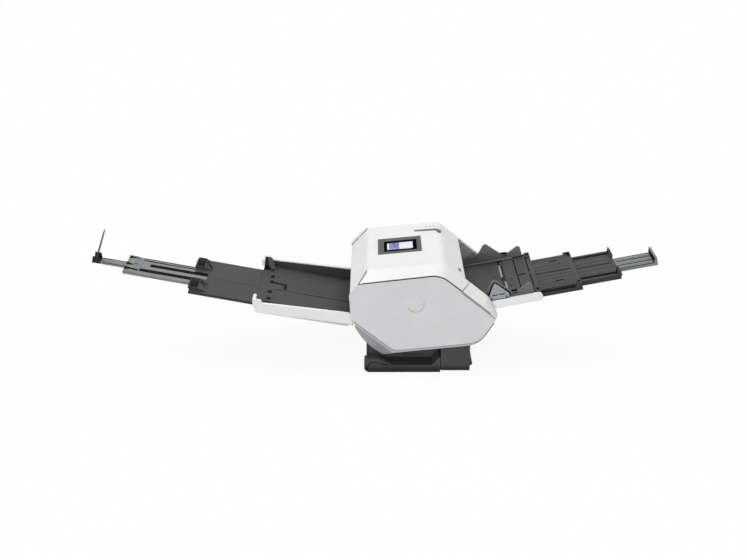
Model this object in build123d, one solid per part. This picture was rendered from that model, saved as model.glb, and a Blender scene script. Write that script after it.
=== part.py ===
from build123d import *
import math
import os

# A sheet-fed document scanner for A3 paper, in millimetres.
# X runs along the paper path: the feed tray is at +X and the output tray at -X.
# Y runs across the machine, with the operator's side at -Y. Z is up.
# The origin is the centre of the base's underside.

# Overall sizes
case_depth = 444.0
side_lean = 5.8
base_length = 282.0
base_depth = 400.0

# Walls and running gaps
wall = 3.5
plate = 3.0
panel_thickness = 3.0
seam = 2.2
slide_gap = 0.3
pin_gap = 0.05
inner_width = 340.0
panel_arc_radius = 22.7
panel_arc_width = 2.8
panel_arc_depth = 1.4
panel_lip = 1.2
panel_slot = 2.2

# Side outline corners as x, z and corner radius, at the flat side panels
PANEL = [
    (-162.5, 260.0, 6),
    (56.0, 285.4, 60),
    (173.0, 192.4, 60),
    (208.0, 163.0, 5),
    (163.3, 94.7, 55),
    (-66.8, 70.8, 37),
    (-182.2, 162.0, 50),
    (-187.0, 233.0, 15),
]
# The same corners where the case is full size, inside the bevelled edges
SHELL = [
    (-138.0, 287.0, 22),
    (67.0, 307.0, 30),
    (188.0, 210.0, 40),
    (216.0, 158.0, 8),
    (163.3, 94.7, 55),
    (-66.8, 70.8, 37),
    (-182.2, 162.0, 50),
    (-187.0, 233.0, 15),
]
bevel_width = 40.0
cover_end = (115.0, 239.0)
shoulder_end = (137.0, 251.0)
cover_right = 125.5
skirt_height = 233.0
belly_flange = 8.0
end_flange = 4.0
notch_low = 214.0
notch_right = -150.0

# Cover hinge
hinge = (-166.0, 237.0)
hinge_pin_radius = 3.5
hinge_boss_radius = 8.5

# Paper path through the machine
path_left = (-187.0, 200.0)
path_slope = 6.0
path_gap = 3.0
sheet_wall = 3.0
guide_right_end = 88.0
guide_half_width = 167.0

# Output tray
stacker_pivot = (-176.0, 143.0)
stacker_slope = 10.6
stacker_half_width = 185.0
stacker_rim_width = 10.7
stacker_end = -268.0
floor_top = -14.0
floor_wall = 3.0
stacker_pin_radius = 4.0

# Feed tray
hopper_origin = (145.0, 180.0)
hopper_slope = 11.0
hopper_left = -54.0
hopper_end = 192.0
hopper_half_width = 165.0
hopper_trim_width = 9.0
side_guide_y = 152.0
side_guide_wall = 6.0
lift_screw_radius = 5.0
lift_screw_x = 74.0

half_depth = case_depth / 2
plate_in = inner_width / 2
plate_out = plate_in + plate
panel_in = half_depth - panel_thickness
bevel_y = half_depth - bevel_width
os.makedirs("parts", exist_ok=True)


def block(x0, x1, y0, y1, z0, z1):
    """Box between two corners."""
    centre = Pos((x0 + x1) / 2, (y0 + y1) / 2, (z0 + z1) / 2)
    return centre * Box(x1 - x0, y1 - y0, z1 - z0)


def outline(corners):
    """Closed face in the XZ plane through corners given as x, z and radius."""
    points = [(x, z) for x, z, radius in corners]
    radii = [radius for x, z, radius in corners]
    path = Plane.XZ * FilletPolyline(*points, radius=radii, close=True)
    return make_face(path.edges())


def prism(face, y0, y1):
    """Solid with a face of the XZ plane as its section, from y0 to y1."""
    return Pos(0, y1, 0) * extrude(face, amount=y1 - y0, dir=(0, -1, 0))


def across(corners, x0, x1):
    """Solid with a section in the YZ plane, given as y and z, from x0 to x1."""
    points = [(y, z) for y, z in corners]
    face = Plane.YZ * make_face(Polyline(*points, close=True).edges())
    return Pos(x0, 0, 0) * extrude(face, amount=x1 - x0, dir=(1, 0, 0))


def bar(x, z, radius, y0, y1):
    """Round bar along Y."""
    return Pos(x, (y0 + y1) / 2, z) * Rot(90, 0, 0) * Cylinder(radius, abs(y1 - y0))


def unit(a, b):
    length = math.hypot(b[0] - a[0], b[1] - a[1])
    return (b[0] - a[0]) / length, (b[1] - a[1]) / length


def inset(corners, t):
    """Corners of a clockwise outline with every side moved inwards by t."""
    count = len(corners)
    moved = []
    for i, (x, z, radius) in enumerate(corners):
        d1 = unit(corners[i - 1], corners[i])
        d2 = unit(corners[i], corners[(i + 1) % count])
        n1 = (d1[1], -d1[0])
        n2 = (d2[1], -d2[0])
        share = t / (1 + n1[0] * n2[0] + n1[1] * n2[1])
        turn = d1[0] * d2[1] - d1[1] * d2[0]
        grown = radius - t if turn < 0 else radius + t
        new_radius = max(grown, 0.5) if radius else 0
        moved.append((x + share * (n1[0] + n2[0]), z + share * (n1[1] + n2[1]), new_radius))
    return moved


def both_sides(make):
    """The piece for the near side and its mirror image."""
    near = make()
    return near, mirror(near, Plane.XZ)


def mirrored(*boxes):
    """Blocks given for the far side, joined with their near-side mirror images."""
    shape = None
    for box in boxes:
        for piece in (block(*box), block(box[0], box[1], -box[3], -box[2], box[4], box[5])):
            shape = piece if shape is None else shape + piece
    return shape


def write(name, *shapes):
    """Write the solids of one sub-part to its own file."""
    solids = [solid for shape in shapes for solid in shape.solids()]
    export_step(Compound(label=name, children=solids), f"parts/{name}.step")


def shell_form(t):
    """The case's outer form, or the space inside walls of thickness t."""
    end = Pos(0, t - half_depth, 0) * outline(inset(PANEL, t))
    wide = outline(inset(SHELL, t))
    near_end = loft([end, Pos(0, -bevel_y, 0) * wide], ruled=True)
    middle = prism(wide, -bevel_y, bevel_y)
    return near_end + middle + mirror(near_end, Plane.XZ)


def cover_region(gap, skirt_end=PANEL[0][0]):
    """Prism that holds the opening cover, its lower edge raised by gap."""
    a, b = PANEL[0], PANEL[1]
    d1 = unit(a, b)
    d2 = unit(b, cover_end)
    d3 = unit(cover_end, shoulder_end)
    n1 = (-d1[1], d1[0])
    n2 = (-d2[1], d2[0])
    n3 = (-d3[1], d3[0])

    def raised(point, first, second):
        share = gap / (1 + first[0] * second[0] + first[1] * second[1])
        return point[0] + share * (first[0] + second[0]), point[1] + share * (first[1] + second[1])

    step = raised(cover_end, n2, n3)
    left = (skirt_end, a[1] + gap / d1[0] + (skirt_end - a[0]) * d1[1] / d1[0])
    reach = 90.0
    top = 400.0
    corners = [
        (-230.0, skirt_height + gap, 0),
        (left[0], skirt_height + gap, 0),
        (*left, 0),
        (*raised(b, n1, n2), b[2] + gap),
        (*step, 0),
        (step[0] + reach * d3[0], step[1] + reach * d3[1], 0),
        (240.0, top, 0),
        (-230.0, top, 0),
    ]
    return prism(outline(corners), -half_depth - 5, half_depth + 5)


def path_z(x, lift=0.0):
    """Height of the paper path's lower wall at x, raised by lift square to it."""
    slope = math.radians(path_slope)
    return path_left[1] + math.tan(slope) * (x - path_left[0]) + lift / math.cos(slope)


case_form = shell_form(0)
case_space = shell_form(wall)


# Bottom cover: a pan under both housings, bulging at the lower left, with bevelled ends
pan_end_z = 150.0
end_rise = unit(PANEL[4], PANEL[3])
pan_end_x = PANEL[4][0] + (pan_end_z - PANEL[4][1]) * end_rise[0] / end_rise[1] + end_flange / end_rise[1]
BELLY = [
    (-172.0, 300.0, 0),
    (pan_end_x, 300.0, 0),
    (pan_end_x, pan_end_z, 0),
    (162.8, PANEL[4][1] - belly_flange, 60),
    (-66.0, PANEL[5][1] - belly_flange + 0.4, 10),
    (-96.0, 43.0, 8),
    (-141.0, 66.0, 130),
    (-172.0, 135.0, 0),
]
flange_y = half_depth - 3.5
shadow_gap = 2.4
pocket_right = -148.0
pocket_low = 100.0
pocket_depth = stacker_half_width + 3.0
rim_room_low = 112.0
exit_cover_low = 149.0
rim_room_y = (plate_in + 1.0, pocket_depth)


def make_bottom_cover():
    pan = prism(outline(BELLY), -flange_y, flange_y)
    pan -= prism(outline(PANEL), -half_depth, half_depth)
    for y0, y1 in ((-half_depth, -flange_y + 9), (flange_y - 9, half_depth)):
        pan -= prism(outline(inset(PANEL, -shadow_gap)), y0, y1)
    pan -= case_form
    pan -= block(-250, 250, -half_depth, half_depth, pan_end_z - 2, 320)
    for y0, y1 in ((-rim_room_y[1], -rim_room_y[0]), rim_room_y):
        pan -= block(-250, pocket_right, y0, y1, rim_room_low, 320)
    pan -= block(-250, pocket_right, -rim_room_y[0], rim_room_y[0], exit_cover_low, 320)
    pan -= prism(outline(inset(BELLY, wall)), -plate_in + 2, plate_in - 2)
    bevel_in = flange_y - bevel_y + 2
    bevel_out = 33.0
    along = unit(PANEL[6], PANEL[5])
    start = (PANEL[6][0] + belly_flange * along[1], PANEL[6][1] - belly_flange * along[0])
    length = math.hypot(bevel_out, bevel_in)
    for side in (-1, 1):
        normal = (along[1] * bevel_in / length, side * bevel_out / length, -along[0] * bevel_in / length)
        face = Plane(origin=(start[0], side * flange_y, start[1]), x_dir=(along[0], 0, along[1]), z_dir=normal)
        pan -= face * Box(700, 300, 200, align=(Align.CENTER, Align.CENTER, Align.MIN))
    return pan


bottom_cover = make_bottom_cover()
write("bottom_cover", bottom_cover)


# Side housings: hollow shells with a notch for the cover's skirt and a pocket for the output tray
def make_housing():
    outside = -panel_in
    body = (case_form & block(-250, 250, outside, -plate_out, 0, 400)) - cover_region(0)
    hollow = case_space & block(-250, 250, outside + wall, -plate_out + 1, 0, 400)
    hollow -= cover_region(-wall)
    corner = block(-250, notch_right + wall, outside, -plate_out, notch_low - wall, 400)
    pocket = block(
        -250, pocket_right + wall, -pocket_depth - wall, -plate_out, pocket_low - wall, notch_low
    )
    body = body - (hollow - corner - pocket)
    body -= block(-250, notch_right, outside - 1, -plate_out + 1, notch_low, 400)
    body -= block(-250, pocket_right, -pocket_depth, -plate_out + 1, pocket_low, notch_low - wall)
    body -= bar(*stacker_pivot, stacker_pin_radius, -pocket_depth - wall - 1, -pocket_depth)
    lip = prism(outline(PANEL), -half_depth, outside + 1) - prism(outline(inset(PANEL, panel_lip)), -half_depth - 1, 0)
    return body + (lip & block(cover_end[0] + 2, 250, -half_depth, 0, PANEL[3][1] + 3, 300))


near_housing, far_housing = both_sides(make_housing)
write("near_housing", near_housing)


# Side panels: flat moulded plates with a shallow curved groove
socket_x = (60.0, 150.0)
socket_z = (112.0, 150.0)
inlet_x = 82.0
inlet_size = (27.0, 20.0)
switch_x = 112.0
switch_size = (14.0, 20.0)
port_x = 138.0
port_size = (13.0, 13.0)
connector_z = 128.0


def make_side_panel():
    panel = prism(outline(PANEL), -half_depth, -panel_in)
    edge = prism(outline(PANEL), -half_depth - 1, 0) - prism(outline(inset(PANEL, panel_lip + panel_slot)), -half_depth - 1, 0)
    panel -= edge & block(cover_end[0], 250, -half_depth - 1, 0, PANEL[3][1] + 1, 300)
    arc = Plane.XZ * trace(CenterArc((-9, 206), panel_arc_radius, 205, 170), panel_arc_width)
    return panel - prism(arc, -half_depth - 1, panel_arc_depth - half_depth)


near_panel, far_panel = both_sides(make_side_panel)
for centre, size in ((inlet_x, inlet_size), (switch_x, switch_size), (port_x, port_size)):
    window = block(
        centre - size[0] / 2 - slide_gap,
        centre + size[0] / 2 + slide_gap,
        panel_in - wall - 1,
        half_depth + 1,
        connector_z - size[1] / 2 - slide_gap,
        connector_z + size[1] / 2 + slide_gap,
    )
    far_panel -= window
    far_housing -= window
switch_pivot = (half_depth - 5.0, connector_z)
stub_radius = 1.5
for side in (-1, 1):
    stub = Pos(switch_x + side * (switch_size[0] / 2 - 1), *switch_pivot) * Rot(0, 90, 0)
    far_housing += stub * Cylinder(stub_radius, 4)
write("near_side_panel", near_panel)
write("far_side_panel", far_panel)
write("far_housing", far_housing)


# Side plates: steel frames that carry every shaft, with an arm to the cover hinge
roller_radius = 13.0
roller_proud = 0.8
nip_gap = 0.3
shaft_radius = 4.0
feed_x = 58.0
transport_x = 2.0
exit_x = -130.0
pulley_radius = 9.0
motor_axis = (-40.0, 128.0)


def below_path(x, radius):
    """Centre of a roller that stands a little proud of the path's lower wall."""
    drop = radius - roller_proud
    slope = math.radians(path_slope)
    return x + drop * math.sin(slope), path_z(x) - drop * math.cos(slope)


def above_path(x, radius):
    """Centre of the roller that faces it from the cover."""
    rise = radius + roller_proud + nip_gap
    slope = math.radians(path_slope)
    return x - rise * math.sin(slope), path_z(x) + rise * math.cos(slope)


drive_axes = [below_path(x, roller_radius) for x in (feed_x, transport_x, exit_x)]
screw_radius = 2.0
screw_places = [(-120.0, 150.0), (-120.0, 235.0), (90.0, 130.0), (40.0, 265.0)]


def make_side_plate():
    sheet = prism(outline(inset(SHELL, wall)), -plate_out, -plate_in)
    sheet -= cover_region(-wall)
    sheet -= block(-250, pocket_right, -half_depth, half_depth, 0, 400)
    arm = block(
        hinge[0], pocket_right + 1, -plate_out, -plate_in, hinge[1] - 7, hinge[1] + 7
    )
    sheet += arm + bar(*hinge, hinge_boss_radius, -plate_out, -plate_in)
    sheet -= bar(*hinge, hinge_pin_radius, -half_depth, 0)
    for centre in drive_axes:
        sheet -= bar(*centre, shaft_radius + pin_gap, -half_depth, 0)
    for place in screw_places:
        sheet -= bar(*place, screw_radius, -half_depth, 0)
    return sheet


near_plate, far_plate = both_sides(make_side_plate)
motor_pilot_radius = 11.0
far_plate -= bar(*motor_axis, motor_pilot_radius, 0, half_depth)
write("near_side_plate", near_plate)
write("far_side_plate", far_plate)


# Screws that hold the side plates, with their heads on the inner faces
def make_screws():
    head_radius, head_height = 3.6, 1.6
    screws = []
    for side in (-1, 1):
        for x, z in screw_places:
            shank = bar(x, z, screw_radius, side * plate_in, side * plate_out)
            head = bar(x, z, head_radius, side * plate_in, side * (plate_in - head_height))
            screws.append(shank + head)
    return screws


write("case_screws", *make_screws())


# Cover hinge pins, pressed into the side plates
def make_hinge_pin():
    pin = bar(*hinge, hinge_pin_radius, -plate_out, -plate_in + 13)
    return pin + bar(*hinge, hinge_pin_radius + 2.5, -plate_out - 2.5, -plate_out)


write("cover_hinge_pins", *both_sides(make_hinge_pin))


# Exit cover: the moulded end wall under the paper exit
def make_exit_cover():
    half_width = 165.0
    lip = path_left[1] - 1.0
    outside = [
        (-186.0, lip, 0.8),
        (-183.5, lip, 0),
        (-183.5, path_z(-183.5, -sheet_wall) - 0.4, 0),
        (-146.0, path_z(-146, -sheet_wall) - 0.4, 0),
        (-146.0, 136.5, 0),
        (-168.2, 136.5, 0),
        (-168.2, 151.0, 6),
        (-186.0, 168.0, 6),
    ]
    cover = prism(outline(outside), -half_width, half_width)
    inside = [
        (-183.0, path_z(-183, -sheet_wall) - 3.4, 0),
        (-140.0, path_z(-140, -sheet_wall) - 3.4, 0),
        (-140.0, 120.0, 0),
        (-165.2, 120.0, 0),
        (-165.2, 152.5, 4),
        (-183.0, 169.5, 4),
    ]
    return cover - prism(outline(inside), -half_width + 3, half_width - 3)


write("exit_cover", make_exit_cover())


# Lower guide: the folded sheet that paper slides over, with windows for rollers and glass
tyre_width = 26.0
tyre_places = {
    "feed": (-34.0, 34.0),
    "transport": (-120.0, -45.0, 45.0, 120.0),
    "exit": (-120.0, -45.0, 45.0, 120.0),
}
scan_left = -72.0
glass_width = 30.0
glass_half_length = 160.0
lift_slot_half_width = 8.0


def make_lower_guide():
    left = -183.0
    right = guide_right_end
    section = [
        (left, path_z(left), 0),
        (right, path_z(right), 4),
        (right, 150.0, 0),
        (right - sheet_wall, 150.0, 0),
        (right - sheet_wall, path_z(right) - sheet_wall, 2),
        (left, path_z(left, -sheet_wall), 0),
    ]
    guide = prism(outline(section), -guide_half_width, guide_half_width)
    for name, centre in zip(("feed", "transport", "exit"), drive_axes):
        for y in tyre_places[name]:
            half = tyre_width / 2 + 1.5
            guide -= bar(*centre, roller_radius + 1.5, y - half, y + half)
    guide -= block(scan_left, scan_left + glass_width, -glass_half_length, glass_half_length, 190, 240)
    guide -= block(right - 10, right + 5, -lift_slot_half_width, lift_slot_half_width, 140, 222.5)
    return guide


write("lower_guide", make_lower_guide())


# Scanning units: a long camera box under the path and one above it, each behind a glass
glass_thickness = 2.5
camera_height = 46.0
camera_half_length = 158.0
path_frame = Pos(path_left[0], 0, path_left[1]) * Rot(0, -path_slope, 0)
scan_local = (scan_left - path_left[0]) / math.cos(math.radians(path_slope))


def glass(rise):
    low = rise if rise > 0 else rise - glass_thickness
    return path_frame * block(
        scan_local + 1.5,
        scan_local + glass_width - 2,
        -glass_half_length + 0.5,
        glass_half_length - 0.5,
        low,
        low + glass_thickness,
    )


def camera(low, high, lip_low, lip_high):
    """Camera housing with a lengthwise rib on its back."""
    start = scan_local - 8
    end = scan_local + glass_width + 8
    body = block(start, end, -camera_half_length, camera_half_length, low, high)
    body += block(
        start + 15, end - 15, -camera_half_length + 20, camera_half_length - 20, lip_low, lip_high
    )
    return path_frame * body


write("lower_glass", glass(-0.2))
write("upper_glass", glass(path_gap + 0.2))
lower_top = -sheet_wall - slide_gap
write("lower_camera", camera(lower_top - camera_height, lower_top, lower_top - camera_height - 8, lower_top - 10))
upper_low = path_gap + sheet_wall + slide_gap
upper_camera_height = 40.0
write(
    "upper_camera",
    camera(upper_low, upper_low + upper_camera_height, upper_low + 10, upper_low + upper_camera_height + 6),
)


# Drive rollers: a steel shaft with a toothed-belt pulley, and rubber tyres, for each of three stations
pulley_y = (plate_out + 3.0, plate_out + 15.0)


def make_drive_shaft(centre):
    shaft = bar(*centre, shaft_radius, -plate_out - 2, pulley_y[1] + 2)
    return shaft + bar(*centre, pulley_radius, *pulley_y)


def make_tyres(centre, places, radius, bore, width):
    return [
        bar(*centre, radius, y - width / 2, y + width / 2) - bar(*centre, bore, y - width, y + width)
        for y in places
    ]


for name, centre in zip(("feed", "transport", "exit"), drive_axes):
    write(f"{name}_shaft", make_drive_shaft(centre))
    write(f"{name}_tyres", *make_tyres(centre, tyre_places[name], roller_radius, shaft_radius, tyre_width))


# Belt drive: motor on the far side plate, its pulley, and one belt round all the pulleys
belt_thickness = 1.6


def make_belt():
    low, high = pulley_y[0] + 1, pulley_y[1] - 1
    corners = [drive_axes[2], drive_axes[0], motor_axis]
    loop = Plane.XZ * make_face(Polyline(*corners, close=True).edges())
    inner = offset(loop, pulley_radius + slide_gap, kind=Kind.ARC)
    outer = offset(loop, pulley_radius + slide_gap + belt_thickness, kind=Kind.ARC)
    return prism(outer, low, high) - prism(inner, low - 1, high + 1)


write("drive_belt", make_belt())
motor_radius = 22.0
motor_shaft_radius = 3.0
motor = bar(*motor_axis, motor_radius, plate_in - 46, plate_in)
motor += bar(*motor_axis, motor_pilot_radius - 0.1, plate_in, plate_out)
motor -= bar(*motor_axis, motor_shaft_radius + pin_gap, plate_in - 20, plate_out + 1)
write("main_motor", motor)
motor_pulley = bar(*motor_axis, pulley_radius, *pulley_y)
motor_pulley += bar(*motor_axis, motor_shaft_radius, plate_in - 19, pulley_y[1])
write("motor_pulley", motor_pulley)


# Base: a moulded cradle with two blocks, a recess between them and a sloping front foot
half_length = base_length / 2
front = -base_depth / 2
rear = base_depth / 2
recess_x = (-136.0, 62.0)
ledge_x = -120.0
ledge_height = 21.0


def make_base():
    high = 100.0
    cradle = block(-half_length, half_length, front + 12, rear - 5, 0, high)
    right_block = block(recess_x[1], half_length, front - 4, rear, 0, high)
    low_edges = right_block.edges().filter_by(Axis.X).group_by(Axis.Z)[0]
    cradle += fillet(low_edges, 13)
    cradle -= block(*recess_x, front - 5, front + 50, ledge_height, high + 1)
    cradle -= block(-half_length - 1, recess_x[0] + 1, front - 5, front + 46, ledge_height, high + 1)
    step = 5.5
    ledge = [
        (ledge_x, 0, 0),
        (ledge_x, ledge_height, 0),
        (38.0, ledge_height, 3),
        (58.0, 44.0, 3),
        (recess_x[1] - 1.5, 44.0, 0),
        (recess_x[1] - 1.5, 0, 0),
    ]
    cradle += prism(outline(ledge), front - step, front + 50)
    cradle -= block(-36, 18, front + 49, front + 53, 26, 31)
    foot = [
        (-half_length + 2, 0, 2),
        (-half_length - 6, 10, 3),
        (-half_length - 6, 38, 4),
        (-half_length - 2, 42, 3),
        (-109.0, 39.0, 20),
        (-73.0, 24.0, 20),
        (-42.0, 0, 0),
    ]
    channel = [
        (-half_length + 1, -1, 0),
        (-half_length - 1, 14, 6),
        (-132.0, 33.0, 8),
        (-101.0, 32.5, 8),
        (-46.0, 4.5, 0),
        (-46.0, -1, 0),
    ]
    hump = [
        (-half_length + 3, -1, 0),
        (-half_length + 3, 9, 3),
        (-129.0, 27.0, 8),
        (-109.0, 26.5, 12),
        (-72.0, 6.0, 6),
        (-60.0, -1, 0),
    ]
    foot_front, foot_back = front - 7, front + 14
    foot = prism(outline(foot), foot_front, foot_back)
    foot -= prism(outline(channel), foot_front - 1, foot_front + 6)
    foot += prism(outline(hump), foot_front + 1, foot_back) & block(-250, 0, front - 20, 0, 0, 50)
    deck = block(-half_length - 2, ledge_x + 2, foot_back - 1, front + 50, 0, ledge_height)
    cradle += foot + deck + (mirror(foot, Plane.XZ) & block(-250, 250, 0, rear + 5, 0, 100))
    nib = [
        (half_length - 2, 8, 0),
        (half_length - 2, 38, 0),
        (half_length + 3, 33, 4),
        (half_length + 9, 15, 4),
    ]
    cradle += prism(outline(nib), front + 15, rear - 15)
    cradle -= prism(outline(inset(BELLY, -slide_gap)), -half_depth, half_depth)
    cradle -= prism(outline(inset(PANEL, -slide_gap)), -half_depth, half_depth)
    return cradle


base_plate_height = 2.5
base_cavity_left = (-half_length + 4, -50.0)
base_cavity_right = (recess_x[1] + 4, half_length - 4)
cavity_y = (front + 22, rear - 12)
base = make_base()
room = block(-half_length + 4, half_length - 4, *cavity_y, -1, base_plate_height)
room += block(*base_cavity_left, front + 54, cavity_y[1], 0, 36)
room += block(base_cavity_left[1] + 4, recess_x[1], front + 54, cavity_y[1], 0, 52)
room += block(*base_cavity_right, *cavity_y, 0, 70)
base -= room
write("base_cradle", base)
pad_radius = 12.0
pad_places = [(x, y) for x in (-115.0, 115.0) for y in (-155.0, 165.0)]
floor_plate = block(-half_length + 4, half_length - 4, *cavity_y, 0, base_plate_height)
pads = [Pos(x, y, base_plate_height / 2) * Cylinder(pad_radius, base_plate_height) for x, y in pad_places]
for pad in pads:
    floor_plate -= pad
write("base_plate", floor_plate)
write("base_pads", *pads)


# Power supply in the base, and the circuit board with its sockets in the far housing
supply = block(recess_x[1] + 10, half_length - 10, -130, 130, base_plate_height, 62)
for y in range(-100, 101, 20):
    supply -= block(recess_x[1] + 20, half_length - 20, y - 4, y + 4, 58, 63)
write("power_supply", supply)
board_y = (198.0, 200.0)
board = block(-60, 150, *board_y, 108, 196)
for place in ((-45, 120, 30, 22, 8), (5, 150, 40, 40, 6), (60, 160, 24, 30, 12), (105, 160, 30, 22, 6)):
    x, z, width, height, depth = place
    board += block(x, x + width, board_y[1], board_y[1] + depth, z, z + height)
port = block(
    port_x - port_size[0] / 2,
    port_x + port_size[0] / 2,
    board_y[1],
    half_depth - 0.5,
    connector_z - port_size[1] / 2,
    connector_z + port_size[1] / 2,
)
port -= block(port_x - 4.5, port_x + 4.5, half_depth - 10, half_depth + 1, connector_z - 4, connector_z + 4)
write("control_board", board + port)
inlet = block(
    inlet_x - inlet_size[0] / 2,
    inlet_x + inlet_size[0] / 2,
    board_y[1],
    half_depth,
    connector_z - inlet_size[1] / 2,
    connector_z + inlet_size[1] / 2,
)
inlet -= block(
    inlet_x - inlet_size[0] / 2 + 2.5,
    inlet_x + inlet_size[0] / 2 - 2.5,
    half_depth - 16,
    half_depth + 1,
    connector_z - inlet_size[1] / 2 + 2.5,
    connector_z + inlet_size[1] / 2 - 2.5,
)
for x in (-7.0, 0.0, 7.0):
    inlet += block(inlet_x + x - 1, inlet_x + x + 1, half_depth - 17, half_depth - 3, connector_z - 2, connector_z + 2)
write("power_inlet", inlet)
rocker = [
    (half_depth - 12.0, connector_z - 3),
    (half_depth - 2.5, connector_z - 9),
    (half_depth + 0.0, connector_z - 9),
    (half_depth - 1.5, connector_z),
    (half_depth - 2.5, connector_z + 9),
    (half_depth - 5.0, connector_z + 9),
    (half_depth - 12.0, connector_z + 3),
]
rocker_end = switch_size[0] / 2 - 0.5
power_switch = across(rocker, switch_x - rocker_end, switch_x + rocker_end)
power_switch -= Pos(switch_x, *switch_pivot) * Rot(0, 90, 0) * Cylinder(stub_radius + pin_gap, 20)
write("power_switch", power_switch)


# Top cover: the thin bevelled shell over the whole machine, hinged at the left
top_angle = math.degrees(math.atan2(SHELL[1][1] - SHELL[0][1], SHELL[1][0] - SHELL[0][0]))
top_frame = Pos(SHELL[0][0], 0, SHELL[0][1]) * Rot(0, -top_angle, 0)
bezel_s = (29.0, 151.0)
bezel_y = (-65.0, 68.0)
glass_s = (46.0, 138.0)
glass_y = (-46.0, 42.0)
bezel_depth = 5.0
button_place = (112.5, -132.0)
button_size = (12.0, 10.0)
line_width = 9.0
line_depth = 2.5
slit = (169.0, 171.2)


slope = math.atan2(SHELL[1][1] - SHELL[2][1], SHELL[2][0] - SHELL[1][0])


def make_top_cover():
    skirt_y = panel_in - 0.5
    skirt = cover_region(seam, notch_right - seam) & block(-250, 250, -skirt_y, skirt_y, 0, 400)
    edge = cover_region(seam) & block(PANEL[0][0] + 2, 250, -half_depth, half_depth, 0, 400)
    cover = (case_form - case_space) & (skirt + edge)
    end_height = SHELL[1][1] - (cover_right - SHELL[1][0]) * math.tan(slope)
    beyond = Pos(cover_right, 0, end_height) * Rot(0, math.degrees(slope), 0)
    cover -= beyond * block(0, 60, -plate_out, plate_out, -30, 30)
    pocket = top_frame * block(*bezel_s, *bezel_y, -10, 5)
    cover -= pocket
    tray = top_frame * block(
        bezel_s[0] - 2, bezel_s[1] + 2, bezel_y[0] - 2, bezel_y[1] + 2, -bezel_depth - 3, -wall + 0.2
    )
    cover += tray - top_frame * block(*bezel_s, *bezel_y, -bezel_depth, 5)
    line = trace(Polyline((-2, 114), (58, 107), (69, 85)), line_width)
    cover -= (case_form - shell_form(line_depth)) & extrude(line, 400)
    cover -= mirrored((-230, SHELL[0][0] + 4, *slit, 0, 400))
    lug_in = plate_in - 12
    lug_out = plate_in - 5.5
    for side in (-1, 1):
        low, high = sorted((side * lug_in, side * lug_out))
        web = [
            (hinge[0] - 12, hinge[1] + 2, 0),
            (hinge[0] + 20, hinge[1] + 40, 0),
            (hinge[0] + 30, hinge[1] + 34, 0),
            (hinge[0] + 7, hinge[1] - 5, 0),
        ]
        lug = bar(*hinge, hinge_boss_radius, low, high) + prism(outline(web), low, high)
        cover += (lug & case_form) - bar(*hinge, hinge_pin_radius + pin_gap, low - 1, high + 1)
        cover -= bar(*hinge, hinge_pin_radius + pin_gap, low - 1, high + 1)
    return cover


top_cover = make_top_cover()
button_height = SHELL[1][1] - (button_place[0] - SHELL[1][0]) * math.tan(slope)
button_frame = Pos(*button_place, button_height) * Rot(0, math.degrees(slope), 0)
button_length, button_width = button_size


def button_bar(grow, low, high):
    length, width = button_length + grow, button_width + grow
    return button_frame * Pos(0, 0, low) * extrude(SlotOverall(length, width), high - low)


top_cover -= button_bar(2 * slide_gap, -10, 10)
write("top_cover", top_cover)
write("cover_button", button_bar(0, -8.5, -0.5) + button_bar(3, -8.5, -6.5))


# Display: a grey surround with a black touch glass
surround = top_frame * block(
    bezel_s[0] + slide_gap, bezel_s[1] - slide_gap, bezel_y[0] + slide_gap, bezel_y[1] - slide_gap, -bezel_depth, 0.4
)
surround -= top_frame * block(*glass_s, *glass_y, -2.5, 1)
write("display_bezel", surround)
touch_glass = top_frame * block(
    glass_s[0] + 0.2, glass_s[1] - 0.2, glass_y[0] + 0.2, glass_y[1] - 0.2, -2.5, 0.2
)
write("touch_glass", touch_glass)


# Upper guide: the sheet over the paper path, with cheeks that carry the cover's rollers
cheek_out = plate_in - 2.0
cheek_in = cheek_out - 2.5
upper_left = -155.0
pick_axis = (104.0, 250.0)
pick_radius = 13.0
idler_radius = 9.0
idler_shaft_radius = 3.0
separation_axis = above_path(feed_x, 11.0)
idler_axes = [above_path(x, idler_radius) for x in (transport_x, exit_x)]
upper_places = {"pick": (-34.0, 34.0), "separation": (-34.0, 34.0)}


def make_upper_guide():
    low = path_gap
    high = path_gap + sheet_wall
    section = [
        (upper_left, path_z(upper_left, high), 0),
        (78.0, path_z(78, high), 20),
        (116.0, 251.5, 0),
        (118.0, 249.0, 0),
        (80.0, path_z(80, low), 20),
        (upper_left, path_z(upper_left, low), 0),
    ]
    guide = prism(outline(section), -cheek_out, cheek_out)
    cheek = [
        (upper_left, path_z(upper_left, low), 0),
        (upper_left, 258.0, 0),
        (-132.0, 281.0, 8),
        (66.0, 300.0, 20),
        (112.0, 263.0, 4),
        (118.0, 249.0, 0),
        (80.0, path_z(80, low), 20),
    ]
    for side in (-1, 1):
        y0, y1 = sorted((side * cheek_in, side * cheek_out))
        guide += prism(outline(cheek), y0, y1)
    for axis in (pick_axis, separation_axis, *idler_axes):
        guide -= bar(*axis, idler_shaft_radius + pin_gap, -plate_in, plate_in)
    for axis, radius, places in (
        (pick_axis, pick_radius, upper_places["pick"]),
        (separation_axis, 11.0, upper_places["separation"]),
        (idler_axes[0], idler_radius, tyre_places["transport"]),
        (idler_axes[1], idler_radius, tyre_places["exit"]),
    ):
        for y in places:
            half = tyre_width / 2 + 1.5
            guide -= bar(*axis, radius + 1.5, y - half, y + half)
    guide -= block(
        scan_left, scan_left + glass_width, -glass_half_length, glass_half_length, 190, 235
    )
    return guide


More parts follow.
